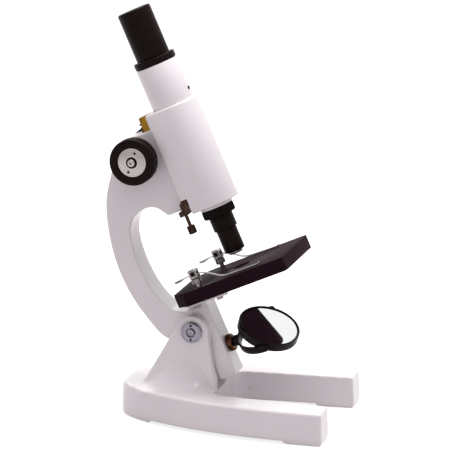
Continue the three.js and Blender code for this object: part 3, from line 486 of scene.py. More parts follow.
def cutBy(piece, *tools):
    for tool in tools:
        applyModifier(piece, "BOOLEAN", {
            "operation": "DIFFERENCE", "solver": "EXACT", "use_self": True, "object": tool,
        })
        bpy.data.objects.remove(tool)
    return piece


def rodPiece(name, radius, low, high, centre=(0, 0), steps=32, across=False):
    startPiece()
    middle = (low + high) / 2
    spot = (centre[0], middle, centre[1]) if across else (centre[0], centre[1], middle)
    bpy.ops.mesh.primitive_cylinder_add(
        vertices=steps, radius=radius * mm, depth=(high - low) * mm, location=tuple(v * mm for v in spot),
        rotation=(math.radians(90), 0, 0) if across else (0, 0, 0),
    )
    rod = bpy.context.object
    rod.name = name
    bpy.ops.object.transform_apply(location=True, rotation=True, scale=True)
    return rod


# One skin over joined shells, its corners rounded as a sand casting's are
def castSkin(piece, voxel, rounds, factor=0.5):
    applyModifier(piece, "REMESH", {"mode": "VOXEL", "voxel_size": voxel * mm, "use_smooth_shade": True})
    return applyModifier(piece, "SMOOTH", {"factor": factor, "iterations": rounds})


def flutes(piece, test, inset, depth):
    only(piece)
    bpy.ops.object.mode_set(mode="EDIT")
    bpy.ops.mesh.select_mode(type="FACE")
    bpy.ops.mesh.select_all(action="DESELECT")
    mesh = bmesh.from_edit_mesh(piece.data)
    for face in mesh.faces:
        if test(face.calc_center_median() / mm):
            face.select_set(True)
    bmesh.update_edit_mesh(piece.data)
    bpy.ops.mesh.inset(thickness=inset * mm, depth=-depth * mm, use_individual=True)
    bpy.ops.object.mode_set(mode="OBJECT")
    return piece


def settle(piece, place, material, body, nodes, angle=35):
    only(piece)
    piece.matrix_world = place @ piece.matrix_world
    bpy.ops.object.transform_apply(location=True, rotation=True, scale=True)
    bpy.ops.object.shade_smooth_by_angle(angle=math.radians(angle))
    piece.data.materials.clear()
    piece.data.materials.append(materials[material])
    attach(piece, body)
    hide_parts(*nodes)
    return piece


def copyOf(piece, name):
    only(piece)
    bpy.ops.object.duplicate()
    twin = bpy.context.object
    twin.name = name
    return twin


def cadCopy(name, node):  # a CAD node's triangles merged into one clean shell
    only(frame["nodes"][node])
    bpy.ops.object.duplicate()
    piece = bpy.context.object
    piece.name = name
    piece.parent = None
    for key in list(piece.keys()):
        del piece[key]
    bpy.ops.object.mode_set(mode="EDIT")
    bpy.ops.mesh.select_all(action="SELECT")
    bpy.ops.mesh.remove_doubles(threshold=0.00001)
    bpy.ops.mesh.dissolve_limited(angle_limit=math.radians(2))
    bpy.ops.object.mode_set(mode="OBJECT")
    return piece


def bezier(a, b, c, d, steps):
    points = []
    for i in range(1, steps + 1):
        t = i / steps
        s = 1 - t
        points.append(tuple(
            s ** 3 * a[k] + 3 * s * s * t * b[k] + 3 * s * t * t * c[k] + t ** 3 * d[k] for k in range(2)
        ))
    return points


def arc(x, y, radius, fromDeg, toDeg, steps):
    turn = [math.radians(fromDeg + (toDeg - fromDeg) * i / steps) for i in range(steps + 1)]
    return [(x + radius * math.cos(a), y + radius * math.sin(a)) for a in turn]


def through(points, steps):  # smooth curve through points, without its first one
    result = []
    for i in range(len(points) - 1):
        p0 = points[max(i - 1, 0)]
        p1, p2 = points[i], points[i + 1]
        p3 = points[min(i + 2, len(points) - 1)]
        for n in range(1, steps + 1):
            t = n / steps
            result.append(tuple(
                0.5 * (2 * p1[k] + (p2[k] - p0[k]) * t + (2 * p0[k] - 5 * p1[k] + 4 * p2[k] - p3[k]) * t * t
                       + (3 * p1[k] - p0[k] - 3 * p2[k] + p3[k]) * t ** 3)
                for k in range(2)
            ))
    return result


# Base casting: horseshoe with two ears and a hollow flare between them
base = {
    "footHeight": 2.3, "top": 27, "rear": -62, "rearHalf": 16, "legEnd": 121.5, "half": 67.8, "shoulder": 88,
    "bevel": 1.6, "earInner": 13.3, "earOuter": 21.5, "earRadius": 13.5, "pivot": 74.5, "skirtHalf": 43,
    "skirtHeight": 31, "skirtSteps": 16, "skirtCorner": 19, "gapRear": 20, "gapHalfRoot": 37,
    "gapHalfEnd": 43.6, "gapCorner": 13, "slotFloor": 24, "webTop": 40, "boreRadius": 4.3,
    "footEnds": (-30, 90), "footInset": 0.992, "earRear": -43, "earFront": 30, "earLean": 147,
    "draft": (0.989, 0.985, 1), "castGrain": 1.0, "castRounds": 4,
}


def baseOutline():
    b = base
    side = bezier(
        (b["rear"], -b["rearHalf"]), (b["rear"] + 2, -36), (0, 2 - b["half"]), (b["shoulder"], -b["half"]), 30
    )
    near = [(b["rear"], -b["rearHalf"])] + side + [(b["legEnd"], -b["half"])]
    return near + [(x, -y) for x, y in reversed(near)]


def makeBase():
    b = base
    outline = baseOutline()
    centre = Vector(((b["rear"] + b["legEnd"]) / 2, 0, b["top"])) * mm
    body = flatPiece("baseBody", outline, b["footHeight"], b["top"], topScale=b["draft"], topCentre=centre)
    bevelled(body, b["bevel"], 4, 60)
    inner = [(x * b["footInset"] + 0.25, y * b["footInset"]) for x, y in outline]
    rearFoot = flatPiece("rearFoot", inner, 0.05, b["footHeight"] + 2)
    legFeet = copyOf(rearFoot, "legFeet")
    for foot, where, direction in ((rearFoot, b["footEnds"][0], -1), (legFeet, b["footEnds"][1], 1)):
        only(foot)
        bpy.ops.object.mode_set(mode="EDIT")
        bpy.ops.mesh.select_all(action="SELECT")
        bpy.ops.mesh.bisect(
            plane_co=(where * mm, 0, 0), plane_no=(direction, 0, 0), use_fill=True, clear_inner=True,
            clear_outer=False,
        )
        closeUp()
    rear, front = b["earRear"], b["earFront"]
    ear = [(rear, b["top"] - 4), (front, b["top"] - 4), (front, b["top"])]
    ear += bezier((front, b["top"]), (18, 31), (16.5, 44), (b["earRadius"], b["pivot"]), 20)
    ear += arc(0, b["pivot"], b["earRadius"], 4, b["earLean"], 30) + [(rear, b["top"])]
    ears = flatPiece("ears", ear, -b["earOuter"], b["earOuter"], plane="XZ")
    bevelled(ears, 1.2, 3, 50)
    skirt = makeSkirt()
    whole = joinPieces(body, rearFoot, legFeet, ears, skirt)
    high = b["pivot"] + 30
    half = b["earInner"]
    slot = boxPiece("slot", (-3, -half, b["slotFloor"]), (b["legEnd"] + 9, half, high))
    rearSlot = boxPiece("rearSlot", (b["rear"] - 9, -half, b["webTop"]), (-2, half, high))
    hingeBore = rodPiece("hingeBore", b["boreRadius"], -30, 30, (0, b["pivot"]), 48, across=True)
    cutBy(whole, slot, rearSlot, hingeBore)
    gap = [(b["legEnd"] + 10, -b["gapHalfEnd"]), (b["legEnd"] + 10, b["gapHalfEnd"])]
    corner, root = b["gapRear"] + b["gapCorner"], b["gapHalfRoot"]
    gap += arc(corner, root - b["gapCorner"], b["gapCorner"], 90, 180, 12)
    gap += arc(corner, b["gapCorner"] - root, b["gapCorner"], 180, 270, 12)
    cutBy(whole, flatPiece("legGap", gap, -5, b["pivot"] - b["earRadius"]))
    castSkin(whole, b["castGrain"], b["castRounds"])
    whole.name = "baseCasting"
    return settle(whole, footFrame, "casting", "stand", ["base_casting"], 60)


# The flare under the ears, shrunk layer by layer along a quarter circle
def makeSkirt():
    b = base
    layers = []
    for i in range(b["skirtSteps"] + 1):
        angle = math.radians(90 * i / b["skirtSteps"])
        gone, rise = math.sin(angle), 1 - math.cos(angle)
        half = b["skirtHalf"] + (b["earOuter"] - 0.6 - b["skirtHalf"]) * gone
        rearX, frontX = -48 + 24 * gone, b["gapRear"] + 3 - 12 * gone
        layers.append((rearX, frontX, half, b["top"] - 0.4 + b["skirtHeight"] * rise))
    rearX, frontX, half, z = layers[0]
    corner = b["skirtCorner"]
    corners = ((rearX + corner, corner - half, 180), (frontX - corner, corner - half, 270),
               (frontX - corner, half - corner, 0), (rearX + corner, half - corner, 90))
    outline = [point for x, y, turn in corners for point in arc(x, y, corner, turn, turn + 90, 8)]
    piece = flatPiece("skirt", outline, z - 3, z)
    only(piece)
    bpy.ops.object.mode_set(mode="EDIT")
    bpy.ops.mesh.select_mode(type="FACE")
    bpy.ops.mesh.select_all(action="DESELECT")
    mesh = bmesh.from_edit_mesh(piece.data)
    for face in mesh.faces:
        if face.calc_center_median().z > (z - 0.1) * mm:
            face.select_set(True)
    bmesh.update_edit_mesh(piece.data)
    for nextRear, nextFront, nextHalf, nextZ in layers[1:]:
        was, now = (rearX + frontX) / 2, (nextRear + nextFront) / 2
        scale = ((nextFront - nextRear) / (frontX - rearX), nextHalf / half, 1)
        extrudeBy(((now - was) * mm, 0, (nextZ - z) * mm), scale, (now * mm, 0, nextZ * mm))
        rearX, frontX, half, z = nextRear, nextFront, nextHalf, nextZ
    closeUp()
    return piece


makeBase()
print("base casting made")


# Arm casting
arm = {
    "half": 13, "bevel": 1.2, "lug": 13.2, "bearing": 10, "bearingHalf": 20, "top": 165.8, "front": 34.4,
    "chin": 95.2, "tail": (2.5, 17.5, 11.6, -47.3, 18.4), "flange": (0.5, 35, 11.6, 17.4, 22.8),
    "outer": [(10, 165.8), (-2, 160.5), (-15, 143.5), (-27.4, 125.7), (-36.2, 102), (-41.1, 74),
              (-40.6, 48), (-36, 25.3), (-27, 2), (-10.56, -7.92)],
    "inner": [(-3, 16.4), (-12, 22.2), (-19.2, 35.6), (-23, 56), (-22.8, 76), (-18.8, 94), (-11, 103.8),
              (0, 107.4), (10, 104.8), (17.4, 95.2)],
    "slideRear": 24.9, "slideRearHalf": 9.7, "slideFrontHalf": 7.5, "grooveHalf": 4.9, "pinionRoom": 8.4,
    "pinionRoomHalf": 5.3, "shaftBore": 3.3, "lugBore": 4.3, "stemBore": 3.3, "castGrain": 0.75,
    "castRounds": 4,
}


def makeArm():
    a = arm
    outline = [(a["front"], a["top"]), a["outer"][0]] + through(a["outer"], 7)
    outline += arc(0, 0, a["lug"], 217, 360, 24)[1:] + [(a["lug"], a["inner"][0][1]), a["inner"][0]]
    outline += through(a["inner"], 7)
    outline += [(a["front"], a["chin"])]
    body = bevelled(flatPiece("armBody", outline, -a["half"], a["half"], plane="XZ"), a["bevel"], 3, 50)
    pinion = toUpper @ pinionPoint / mm
    at = (pinion.x, pinion.z)
    bearing = rodPiece("bearing", a["bearing"], -a["bearingHalf"], a["bearingHalf"], at, 64, True)
    bevelled(bearing, 0.5, 2, 50)
    parts = []
    for part in ("tail", "flange"):
        x0, x1, half, z0, z1 = a[part]
        parts.append(bevelled(boxPiece(part, (x0, -half, z0), (x1, half, z1)), 0.6, 2))
    whole = joinPieces(body, bearing, *parts)
    way = [(a["slideRear"], -a["slideRearHalf"]), (a["front"] + 1, -a["slideFrontHalf"]),
           (a["front"] + 1, a["slideFrontHalf"]), (a["slideRear"], a["slideRearHalf"])]
    low, high = a["chin"] - 5, a["top"] + 5
    cutBy(
        whole,
        flatPiece("way", way, low, high),
        boxPiece("groove", (pinion.x, -a["grooveHalf"], low), (a["slideRear"] + 1, a["grooveHalf"], high)),
        rodPiece("pinionRoom", a["pinionRoom"], -a["pinionRoomHalf"], a["pinionRoomHalf"], at, 32, True),
        rodPiece("shaftBore", a["shaftBore"], -30, 30, at, 32, True),
        rodPiece("lugBore", a["lugBore"], -30, 30, (0, 0), 32, True),
    )
    mirrorZ = (toUpper @ mirrorPoint).z / mm
    stem = rodPiece("stemBore", a["stemBore"], 0, 24, (0, 0), 32)
    only(stem)
    stem.rotation_euler = (0, math.radians(90), 0)
    stem.location = (6 * mm, 0, mirrorZ * mm)
    bpy.ops.object.transform_apply(location=True, rotation=True, scale=True)
    cutBy(whole, stem)
    castSkin(whole, a["castGrain"], a["castRounds"])
    whole.name = "armCasting"
    return settle(whole, upperFrame, "casting", "arm", ["arm_casting"], 60)


makeArm()
print("arm casting made")

# Stage
stage = {
    "rear": 0.9, "front": 103.4, "half": 40.8, "top": 34.3, "thick": 11.2, "chamfer": 11.9, "edge": 0.9,
    "hole": 6.5, "rim": 7.6, "rimDepth": 0.5, "frontRound": 3, "postHole": 2.3, "screwHole": 1.8,
    "screwAt": (29, 6.5),
}


def makeStage():
    s = stage
    corner = s["frontRound"]
    outline = [(s["rear"], s["chamfer"] - s["half"]), (s["rear"] + s["chamfer"], -s["half"])]
    outline += arc(s["front"] - corner, corner - s["half"], corner, 270, 360, 7)
    outline += [(x, -y) for x, y in reversed(outline)]
    plate = flatPiece("stagePlate", outline, s["top"] - s["thick"], s["top"])
    centre = (opticalX / mm, 0)
    clip = upperPoint("clip_near_swivel") / mm
    tools = [rodPiece("light", s["hole"], s["top"] - 20, s["top"] + 5, centre, 72),
             rodPiece("lightRim", s["rim"], s["top"] - s["rimDepth"], s["top"] + 5, centre, 72)]
    for side in (-1, 1):
        post, screw = (clip.x, side * abs(clip.y)), (s["screwAt"][0], side * s["screwAt"][1])
        tools.append(rodPiece("postHole", s["postHole"], s["top"] - 8, s["top"] + 5, post, 24))
        tools.append(rodPiece("screwHole", s["screwHole"], s["top"] - 20, s["top"] - 3, screw, 24))
    cutBy(plate, *tools)
    bevelled(plate, s["edge"], 3, 40)
    return settle(plate, upperFrame, "stage", "arm", ["stage_plate"], 40)


makeStage()
print("stage made")

# Body tube, eyepiece and objective: all turned about the optical axis
housing = {
    "radius": 20.5, "rear": 34.7, "corner": 2.2, "bottom": 89.9, "top": 178.3, "chamfer": 1.8, "bore": 17.9,
    "thread": 10.4, "floor": 7, "socket": 22, "notchDepth": 6, "notchTop": 103.4, "lightPath": 14.5,
    "lowerChamfer": 0.8,
}


def makeHousing():
    h = housing
    x, r, c = opticalX / mm, h["radius"], h["corner"]
    section = arc(x, 0, r, -90, 90, 40)
    section += arc(h["rear"] + c, r - c, c, 90, 180, 5) + arc(h["rear"] + c, c - r, c, 180, 270, 5)
    shell = flatPiece("bodyHousing", section, h["bottom"], h["top"])
    only(shell)
    bpy.ops.object.mode_set(mode="EDIT")
    for height, width in ((h["top"], h["chamfer"]), (h["bottom"], h["lowerChamfer"])):
        bpy.ops.mesh.select_mode(type="FACE")
        bpy.ops.mesh.select_all(action="DESELECT")
        mesh = bmesh.from_edit_mesh(shell.data)
        for face in mesh.faces:
            if abs(face.calc_center_median().z - height * mm) < 0.0002:
                face.select_set(True)
        bmesh.update_edit_mesh(shell.data)
        bpy.ops.mesh.bevel(offset=width * mm, segments=3, profile=0.5)
    bpy.ops.object.mode_set(mode="OBJECT")
    notchLow = (h["rear"] - 5, -r - 5, h["bottom"] - 5)
    cutBy(
        shell,
        rodPiece("bore", h["lightPath"], h["bottom"] + h["floor"], h["top"] + 5, (x, 0), 96),
        rodPiece("socket", h["bore"], h["top"] - h["socket"], h["top"] + 5, (x, 0), 96),
        rodPiece("thread", h["thread"], h["bottom"] - 5, h["bottom"] + h["floor"] + 1, (x, 0), 64),
        boxPiece("notch", notchLow, (h["rear"] + h["notchDepth"], r + 5, h["notchTop"])),
    )
    bevelled(shell, 0.25, 2, 50)
    return settle(shell, upperFrame, "tube", "body_tube", ["body_housing"], 35)


makeHousing()
axis = upperFrame @ Matrix.Translation((opticalX, 0, 0))
lowOf = {node: upperBox(node)[0].z / mm for node in frame["nodes"]}

turnings = {  # radius and height above the node's own lowest point, mm
    "draw_tube": {
        "profile": [(14.6, 0), (17.4, 0), (17.6, 0.3), (17.6, 56.2), (17.3, 56.7), (14.6, 56.7), (14.6, 0)],
        "material": "tube", "body": "body_tube", "slot": "white_enamel",
    },
    "tube_collar": {
        "profile": [(11.9, 0), (17, 0), (17.5, 0.5), (17.5, 4.9), (17.2, 5.4), (16.6, 5.7), (14.6, 5.7),
                    (14.4, 5.3), (11.9, 5.3), (11.9, 0)],
        "material": "phenolic", "body": "body_tube", "slot": "black_moulding",
    },
    "eyepiece_shell": {
        "profile": [(10, 0), (11.3, 0), (11.6, 0.3), (11.6, 27), (13.6, 27), (14, 27.4), (14, 66.6),
                    (13.8, 67.5), (13.2, 68.2), (12.4, 68.4), (11.2, 68.3), (9.6, 67.7), (7.6, 66.9), (5.6, 66),
                    (5, 65.5), (5, 65), (8.3, 65), (8.3, 61.7), (10, 61.7), (10, 0)],
        "material": "phenolic", "body": "eyepiece", "slot": "black_moulding",
    },
    "objective_mount_ring": {
        "profile": [(10.4, 0), (13.5, 0), (13.9, 0.4), (13.9, 2), (13.5, 2.4), (10.4, 2.4), (10.4, 0)],
        "material": "tube", "body": "body_tube", "slot": "white_enamel",
    },
    "objective_flange": {
        "profile": [(4.6, 0), (13.1, 0), (13.7, 0.6), (13.7, 6.7), (13.3, 7.2), (10.1, 7.2), (10.1, 14.9),
                    (9.9, 15.1), (4.6, 15.1), (4.6, 0)],
        "material": "phenolic", "body": "body_tube", "slot": "black_moulding",
        "flutes": (13.3, 0.9, 6.4, 0.2, 0.22),
    },
    "objective_barrel": {
        "profile": [(4.6, 0), (9.8, 0), (10, 0.2), (10, 2.6), (9.8, 2.8), (9.8, 3.0), (10, 3.2), (10, 9.2),
                    (9.8, 9.4), (9.8, 9.6), (10, 9.8), (10, 11.5), (9.8, 11.7), (4.6, 11.7), (4.6, 0)],
        "material": "phenolic", "body": "body_tube", "slot": "black_moulding",
    },
    "objective_tip": {
        "profile": [(4.6, 0), (7.6, 0), (8.3, 0.4), (8.6, 1.1), (8.6, 13.6), (8.4, 13.8), (8.4, 14.1),
                    (8.6, 14.3), (8.6, 19.3), (8.3, 19.7), (4.6, 19.7), (4.6, 0)],
        "material": "phenolic", "body": "body_tube", "slot": "black_moulding",
    },
    "objective_front_ring": {
        "profile": [(3.5, 0), (5.0, 0), (5.8, 0.4), (6.2, 1.0), (6.2, 1.7), (3.5, 1.7), (3.5, 0)],
        "material": "nickelAxis", "body": "body_tube", "slot": "bright_steel",
    },
    "eye_lens": {
        "profile": [(7.9, 0), (8, 0.1), (8, 1.1), (6.8, 1.55), (5, 1.95), (3, 2.15), (1, 2.2)],
        "material": "lens", "body": "eyepiece", "slot": "lens_glass", "solid": True,
    },
    "field_lens": {
        "profile": [(9.5, 0), (9.7, 0.1), (9.7, 1.2), (8, 2), (6, 2.7), (4, 3.15), (2, 3.35), (0.8, 3.4)],
        "material": "lens", "body": "eyepiece", "slot": "lens_glass", "solid": True,
    },
    "objective_front_lens": {
        "profile": [(0.8, 0), (2, 0.05), (2.9, 0.15), (3.2, 0.3), (3.2, 0.9), (3.1, 1)],
        "material": "lens", "body": "body_tube", "slot": "lens_glass", "solid": True,
    },
}


def camel(node):
    first, *rest = node.split("_")
    return first + "".join(word.title() for word in rest)


for node, spec in turnings.items():
    piece = turnPiece(camel(node), spec["profile"], 96, hollow=not spec.get("solid"))
    if "flutes" in spec:
        inner, low, high, inset, depth = spec["flutes"]
        flutes(piece, lambda c: math.hypot(c.x, c.y) > inner and low < c.z < high, inset, depth)
    place = axis @ Matrix.Translation((0, 0, lowOf[node] * mm))
    settle(piece, place, spec["material"], spec["body"], [node])

setScrew = {"radius": 1.4, "length": 2.6, "slotHalf": 0.28, "slotDepth": 0.5}
for node in ("set_screw_rear", "set_screw_front"):
    s = setScrew
    radius, length = s["radius"], s["length"]
    screw = turnPiece(camel(node), [(1.2, 0), (radius, 0.2), (radius, length - 0.3), (1.1, length)], 32)
    slotLow, slotHigh = (-2, -s["slotHalf"], length - s["slotDepth"]), (2, s["slotHalf"], length + 1)
    cutBy(screw, boxPiece("slotCut", slotLow, slotHigh))
    low, high = upperBox(node)
    side = 1 if low.x > opticalX else -1
    inner = low.x if side > 0 else high.x
    place = upperFrame @ Matrix.Translation((inner, 0, (low.z + high.z) / 2))
    place = place @ Matrix.Rotation(math.radians(90 * side), 4, "Y")
    settle(screw, place, "phenolic", "body_tube", [node])
print("tube, eyepiece and objective made")

# Knobs, their discs and caps
knob = {
    "steps": 84,
    "profile": [(3.3, 0), (16.8, 0), (18.4, 0.5), (19.2, 1.6), (19.2, 10.4), (18.8, 11.5), (18, 12.1),
                (17.2, 12.3), (13.4, 12.3), (12.6, 12.1), (12.2, 11.5), (12.2, 9.8), (3.3, 9.8), (3.3, 0)],
    "disc": [(4.4, 0), (11.5, 0), (11.9, 0.4), (11.9, 1.3), (11.1, 1.8), (4.7, 1.8), (4.4, 1.5), (4.4, 0)],
    "cap": [(1.2, 0), (3.2, 0), (3.3, 0.3), (3.2, 0.8), (2.9, 1.25), (2.4, 1.6), (1.8, 1.78), (1.4, 1.8),
            (1.2, 1.7), (1.2, 0)],
    "holeRadius": 1.1, "holeOffset": 8.3, "holeTurn": 47,
}
hingeDisc = {
    "profile": [(3.1, 0), (8.2, 0), (8.6, 0.4), (8.6, 2.5), (8.0, 3.2), (7.6, 3.2), (7.45, 3.05), (7.3, 3.2),
                (4.1, 3.2), (3.8, 2.9), (3.8, 0.6), (3.1, 0.6), (3.1, 0)],
    "holeRadius": 1.1, "holeOffset": 5.9, "holeTurn": 90,
    "pin": [(1.2, -24.4), (2.8, -25.1), (2.8, -20.5), (4, -20.5), (4, 20.5), (2.8, 20.5), (2.8, 25.1),
            (1.2, 24.4)],
}


def pierced(piece, spec, low, high):
    a = math.radians(spec["holeTurn"])
    for way in (-1, 1):
        centre = (way * spec["holeOffset"] * math.cos(a), way * spec["holeOffset"] * math.sin(a))
        cutBy(piece, rodPiece("spannerHole", spec["holeRadius"], low, high, centre, 24))
    return piece


def onBothSides(piece, nodes, parent, point, low, material, body):
    far = copyOf(piece, camel(nodes[1]))
    for each, node, side in ((piece, nodes[0], -1), (far, nodes[1], 1)):
        place = axisFrame(parent, point, side) @ Matrix.Translation((0, 0, low))
        settle(each, place, material, body, [node])


pinionAt = toUpper @ pinionPoint
knobPiece = turnPiece("focusKnobNear", knob["profile"], knob["steps"], hollow=True)
flutes(knobPiece, lambda c: math.hypot(c.x, c.y) > 18.9 and 2 < c.z < 10, 0.22, 0.4)
bevelled(knobPiece, 0.1, 1, 50)
knobDisc = pierced(turnPiece("knobDiscNear", knob["disc"], 96, True), knob, -1, 3)
knobParts = (
    (knobPiece, "focus_knob", "phenolic", "black_moulding"),
    (knobDisc, "knob_disc", "nickelPinion", "bright_steel"),
    (turnPiece("hubCapNear", knob["cap"], 48, True), "hub_cap", "nickelPinion", "bright_steel"),
)
for piece, stem, material, slot in knobParts:
    start = -upperBox(stem + "_near")[1].y
    onBothSides(piece, (stem + "_near", stem + "_far"), upperFrame, pinionAt, start, material, "pinion")
disc = pierced(turnPiece("hingeDiscNear", hingeDisc["profile"], 72, True), hingeDisc, -1, 5)
start = -upperBox("hinge_disc_near")[1].y
pinAt = Vector((0, 0, pivot.z))
onBothSides(disc, ("hinge_disc_near", "hinge_disc_far"), footFrame, pinAt, start, "shadedHingePlate", "stand")
hingePin = turnPiece("hingePin", hingeDisc["pin"], 48)
settle(hingePin, axisFrame(footFrame, pinAt, -1), "shadedHingePlate", "stand", ["hinge_pin"])
print("knobs and hinge made")

# Stage clips
clip = {
    "capHeight": 7.4, "leafThick": 0.6, "toeIn": 3.5, "windowHalf": 1.8, "windowLow": 2.1, "windowHigh": 5.7,
    "slitHalf": 2.9, "shank": 2.3, "leafHole": 2.2, "saddle": {"from": -6, "over": 5, "half": 4, "depth": 1.3},
    "leaf": [(-18, 10.3, 0.8), (-17.6, 10.35, 2.2), (-16.6, 10.5, 3.3), (-15, 10.65, 3.9), (-13, 10.8, 4),
             (-11, 10.9, 3.7), (-9, 11, 3.1), (-7, 11.1, 2.6), (-4, 11.15, 2.5), (1, 11.1, 2.5),
             (5, 10.7, 2.3), (8, 9.9, 1.9), (11, 8.6, 1.75), (14, 6.8, 1.7), (17, 4.8, 1.7), (20, 3.0, 1.7),
             (23, 1.9, 1.7), (26, 1.4, 1.65), (34, 1.15, 1.6), (42, 0.95, 1.55), (48, 0.85, 1.5),
             (51, 0.85, 1.5), (53, 1.1, 1.4), (54.4, 1.7, 1.0), (54.8, 2.0, 0.5)],
    "post": [(1.8, 0), (2, 0.2), (2, 10.7), (3.7, 10.7), (4.1, 11.1), (4.1, 14.9), (3.7, 15.3), (2, 15.3),
             (2, 20.9), (1.7, 21.1)],
    "cap": [(4.2, 0), (4.6, 0.4), (4.6, 6.3), (4.3, 6.9), (3.7, 7.3), (2.6, 7.4)],
}


def makeClips():
    c = clip
    collar = turnPiece("clipPostNear", c["post"], 48)
    flutes(collar, lambda p: math.hypot(p.x, p.y) > 3.9 and 11.3 < p.z < 14.7, 0.1, 0.22)
    capPiece = turnPiece("clipCapNear", c["cap"], 64)
    leafHigh = upperBox("clip_leaf_near")[1].z / mm - lowOf["clip_cap_near"]
    cutBy(
        capPiece,
        boxPiece("window", (-9, -c["slitHalf"], leafHigh - 2.4), (9, c["slitHalf"], leafHigh + 0.9)),
        rodPiece("shank", c["shank"], -5, c["capHeight"] - 1.2, (0, 0), 32),
        boxPiece("eye", (-c["windowHalf"], -6, c["windowLow"]), (c["windowHalf"], -3.2, c["windowHigh"])),
    )
    # A black insert set into the cap's window: painted shade standing for the dark inside of the recess
    windowShade = boxPiece("clipWindowShadeNear", (0.05 - c["windowHalf"], -4.1, c["windowLow"] + 0.05),
                   (c["windowHalf"] - 0.05, -3.25, c["windowHigh"] - 0.05))
    bevelled(windowShade, 0.15, 2)
    leaf = stripPiece("clipLeafNear", c["leaf"], c["leafThick"], saddle=c["saddle"])
    cutBy(leaf, rodPiece("leafHole", c["leafHole"], 5, 15, (0, 0), 32))
    bevelled(leaf, 0.18, 2, 40)
    for side, end in ((-1, "near"), (1, "far")):
        at = upperPoint("clip_" + end + "_swivel")
        turn = Matrix.Rotation(math.radians(-side * c["toeIn"]), 4, "Z")
        foot = upperFrame @ Matrix.Translation((at.x, at.y, 0))
        name = end.title()
        still = Matrix.Identity(4)
        pieces = (
            (collar, "clipPost" + name, "clip_post_" + end, "arm", still, lowOf["clip_post_" + end]),
            (capPiece, "clipCap" + name, "clip_cap_" + end, "clip_" + end, turn, lowOf["clip_cap_" + end]),
            (leaf, "clipLeaf" + name, "clip_leaf_" + end, "clip_" + end, turn, stage["top"]),
        )
        # Each cap gets a copy of the black insert, painted shade in its window
        dark = copyOf(windowShade, "clipWindowShade" + name)
        dark.matrix_world = foot @ turn @ Matrix.Translation((0, 0, lowOf["clip_cap_" + end] * mm))
        bpy.ops.object.transform_apply(location=True, rotation=True, scale=True)
        dark.data.materials.append(materials["phenolic"])
        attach(dark, "clip_" + end)
        for piece, newName, node, body, spin, low in pieces:
            made = copyOf(piece, newName)
            place = foot @ spin @ Matrix.Translation((0, 0, low * mm))
            settle(made, place, "nickelClip" + name, body, [node])
    for piece in (collar, capPiece, leaf, windowShade):
        bpy.data.objects.remove(piece)


makeClips()
print("clips made")

# Mirror, its cell, fork and nut
mirrorSpec = {
    "tilt": 40.6, "forkInner": 26.2, "strip": 1.8, "forkHalf": 3.4, "reach": 1.5, "tipHalf": 1.6,
    "neckHalf": 2.9,
    "cell": [(24.2, -3.75), (25.1, -3.75), (25.6, -3.3), (25.6, 3.3), (25.1, 3.75), (24.5, 3.75), (24.2, 3.45),
             (24.2, 0.6), (20, 0.6), (20, -0.6), (24.2, -0.6), (24.2, -3.75)],
    "plane": [(23.3, 0), (23.9, 0.3), (23.9, 1.4), (23.4, 1.8)],
    "concave": [(23.9, 0), (23.9, -1.5), (23.5, -1.8), (21, -1.55), (17, -1.28), (12, -1.06), (6, -0.94),
                (1, -0.9)],
    "nut": [(3.3, 0), (6.6, 0), (7.2, 0.6), (7.2, 4.3), (6.7, 4.9), (6.1, 5.2), (3.3, 5.2), (3.3, 0)],
    "screw": [(1.1, 0), (1.3, 0.2), (1.3, 2.4), (2.5, 2.4), (2.7, 2.6), (2.6, 2.9), (2.1, 3.2), (1.2, 3.3)],
    "glassLift": 0.9, "screwFrom": 25.9,
}


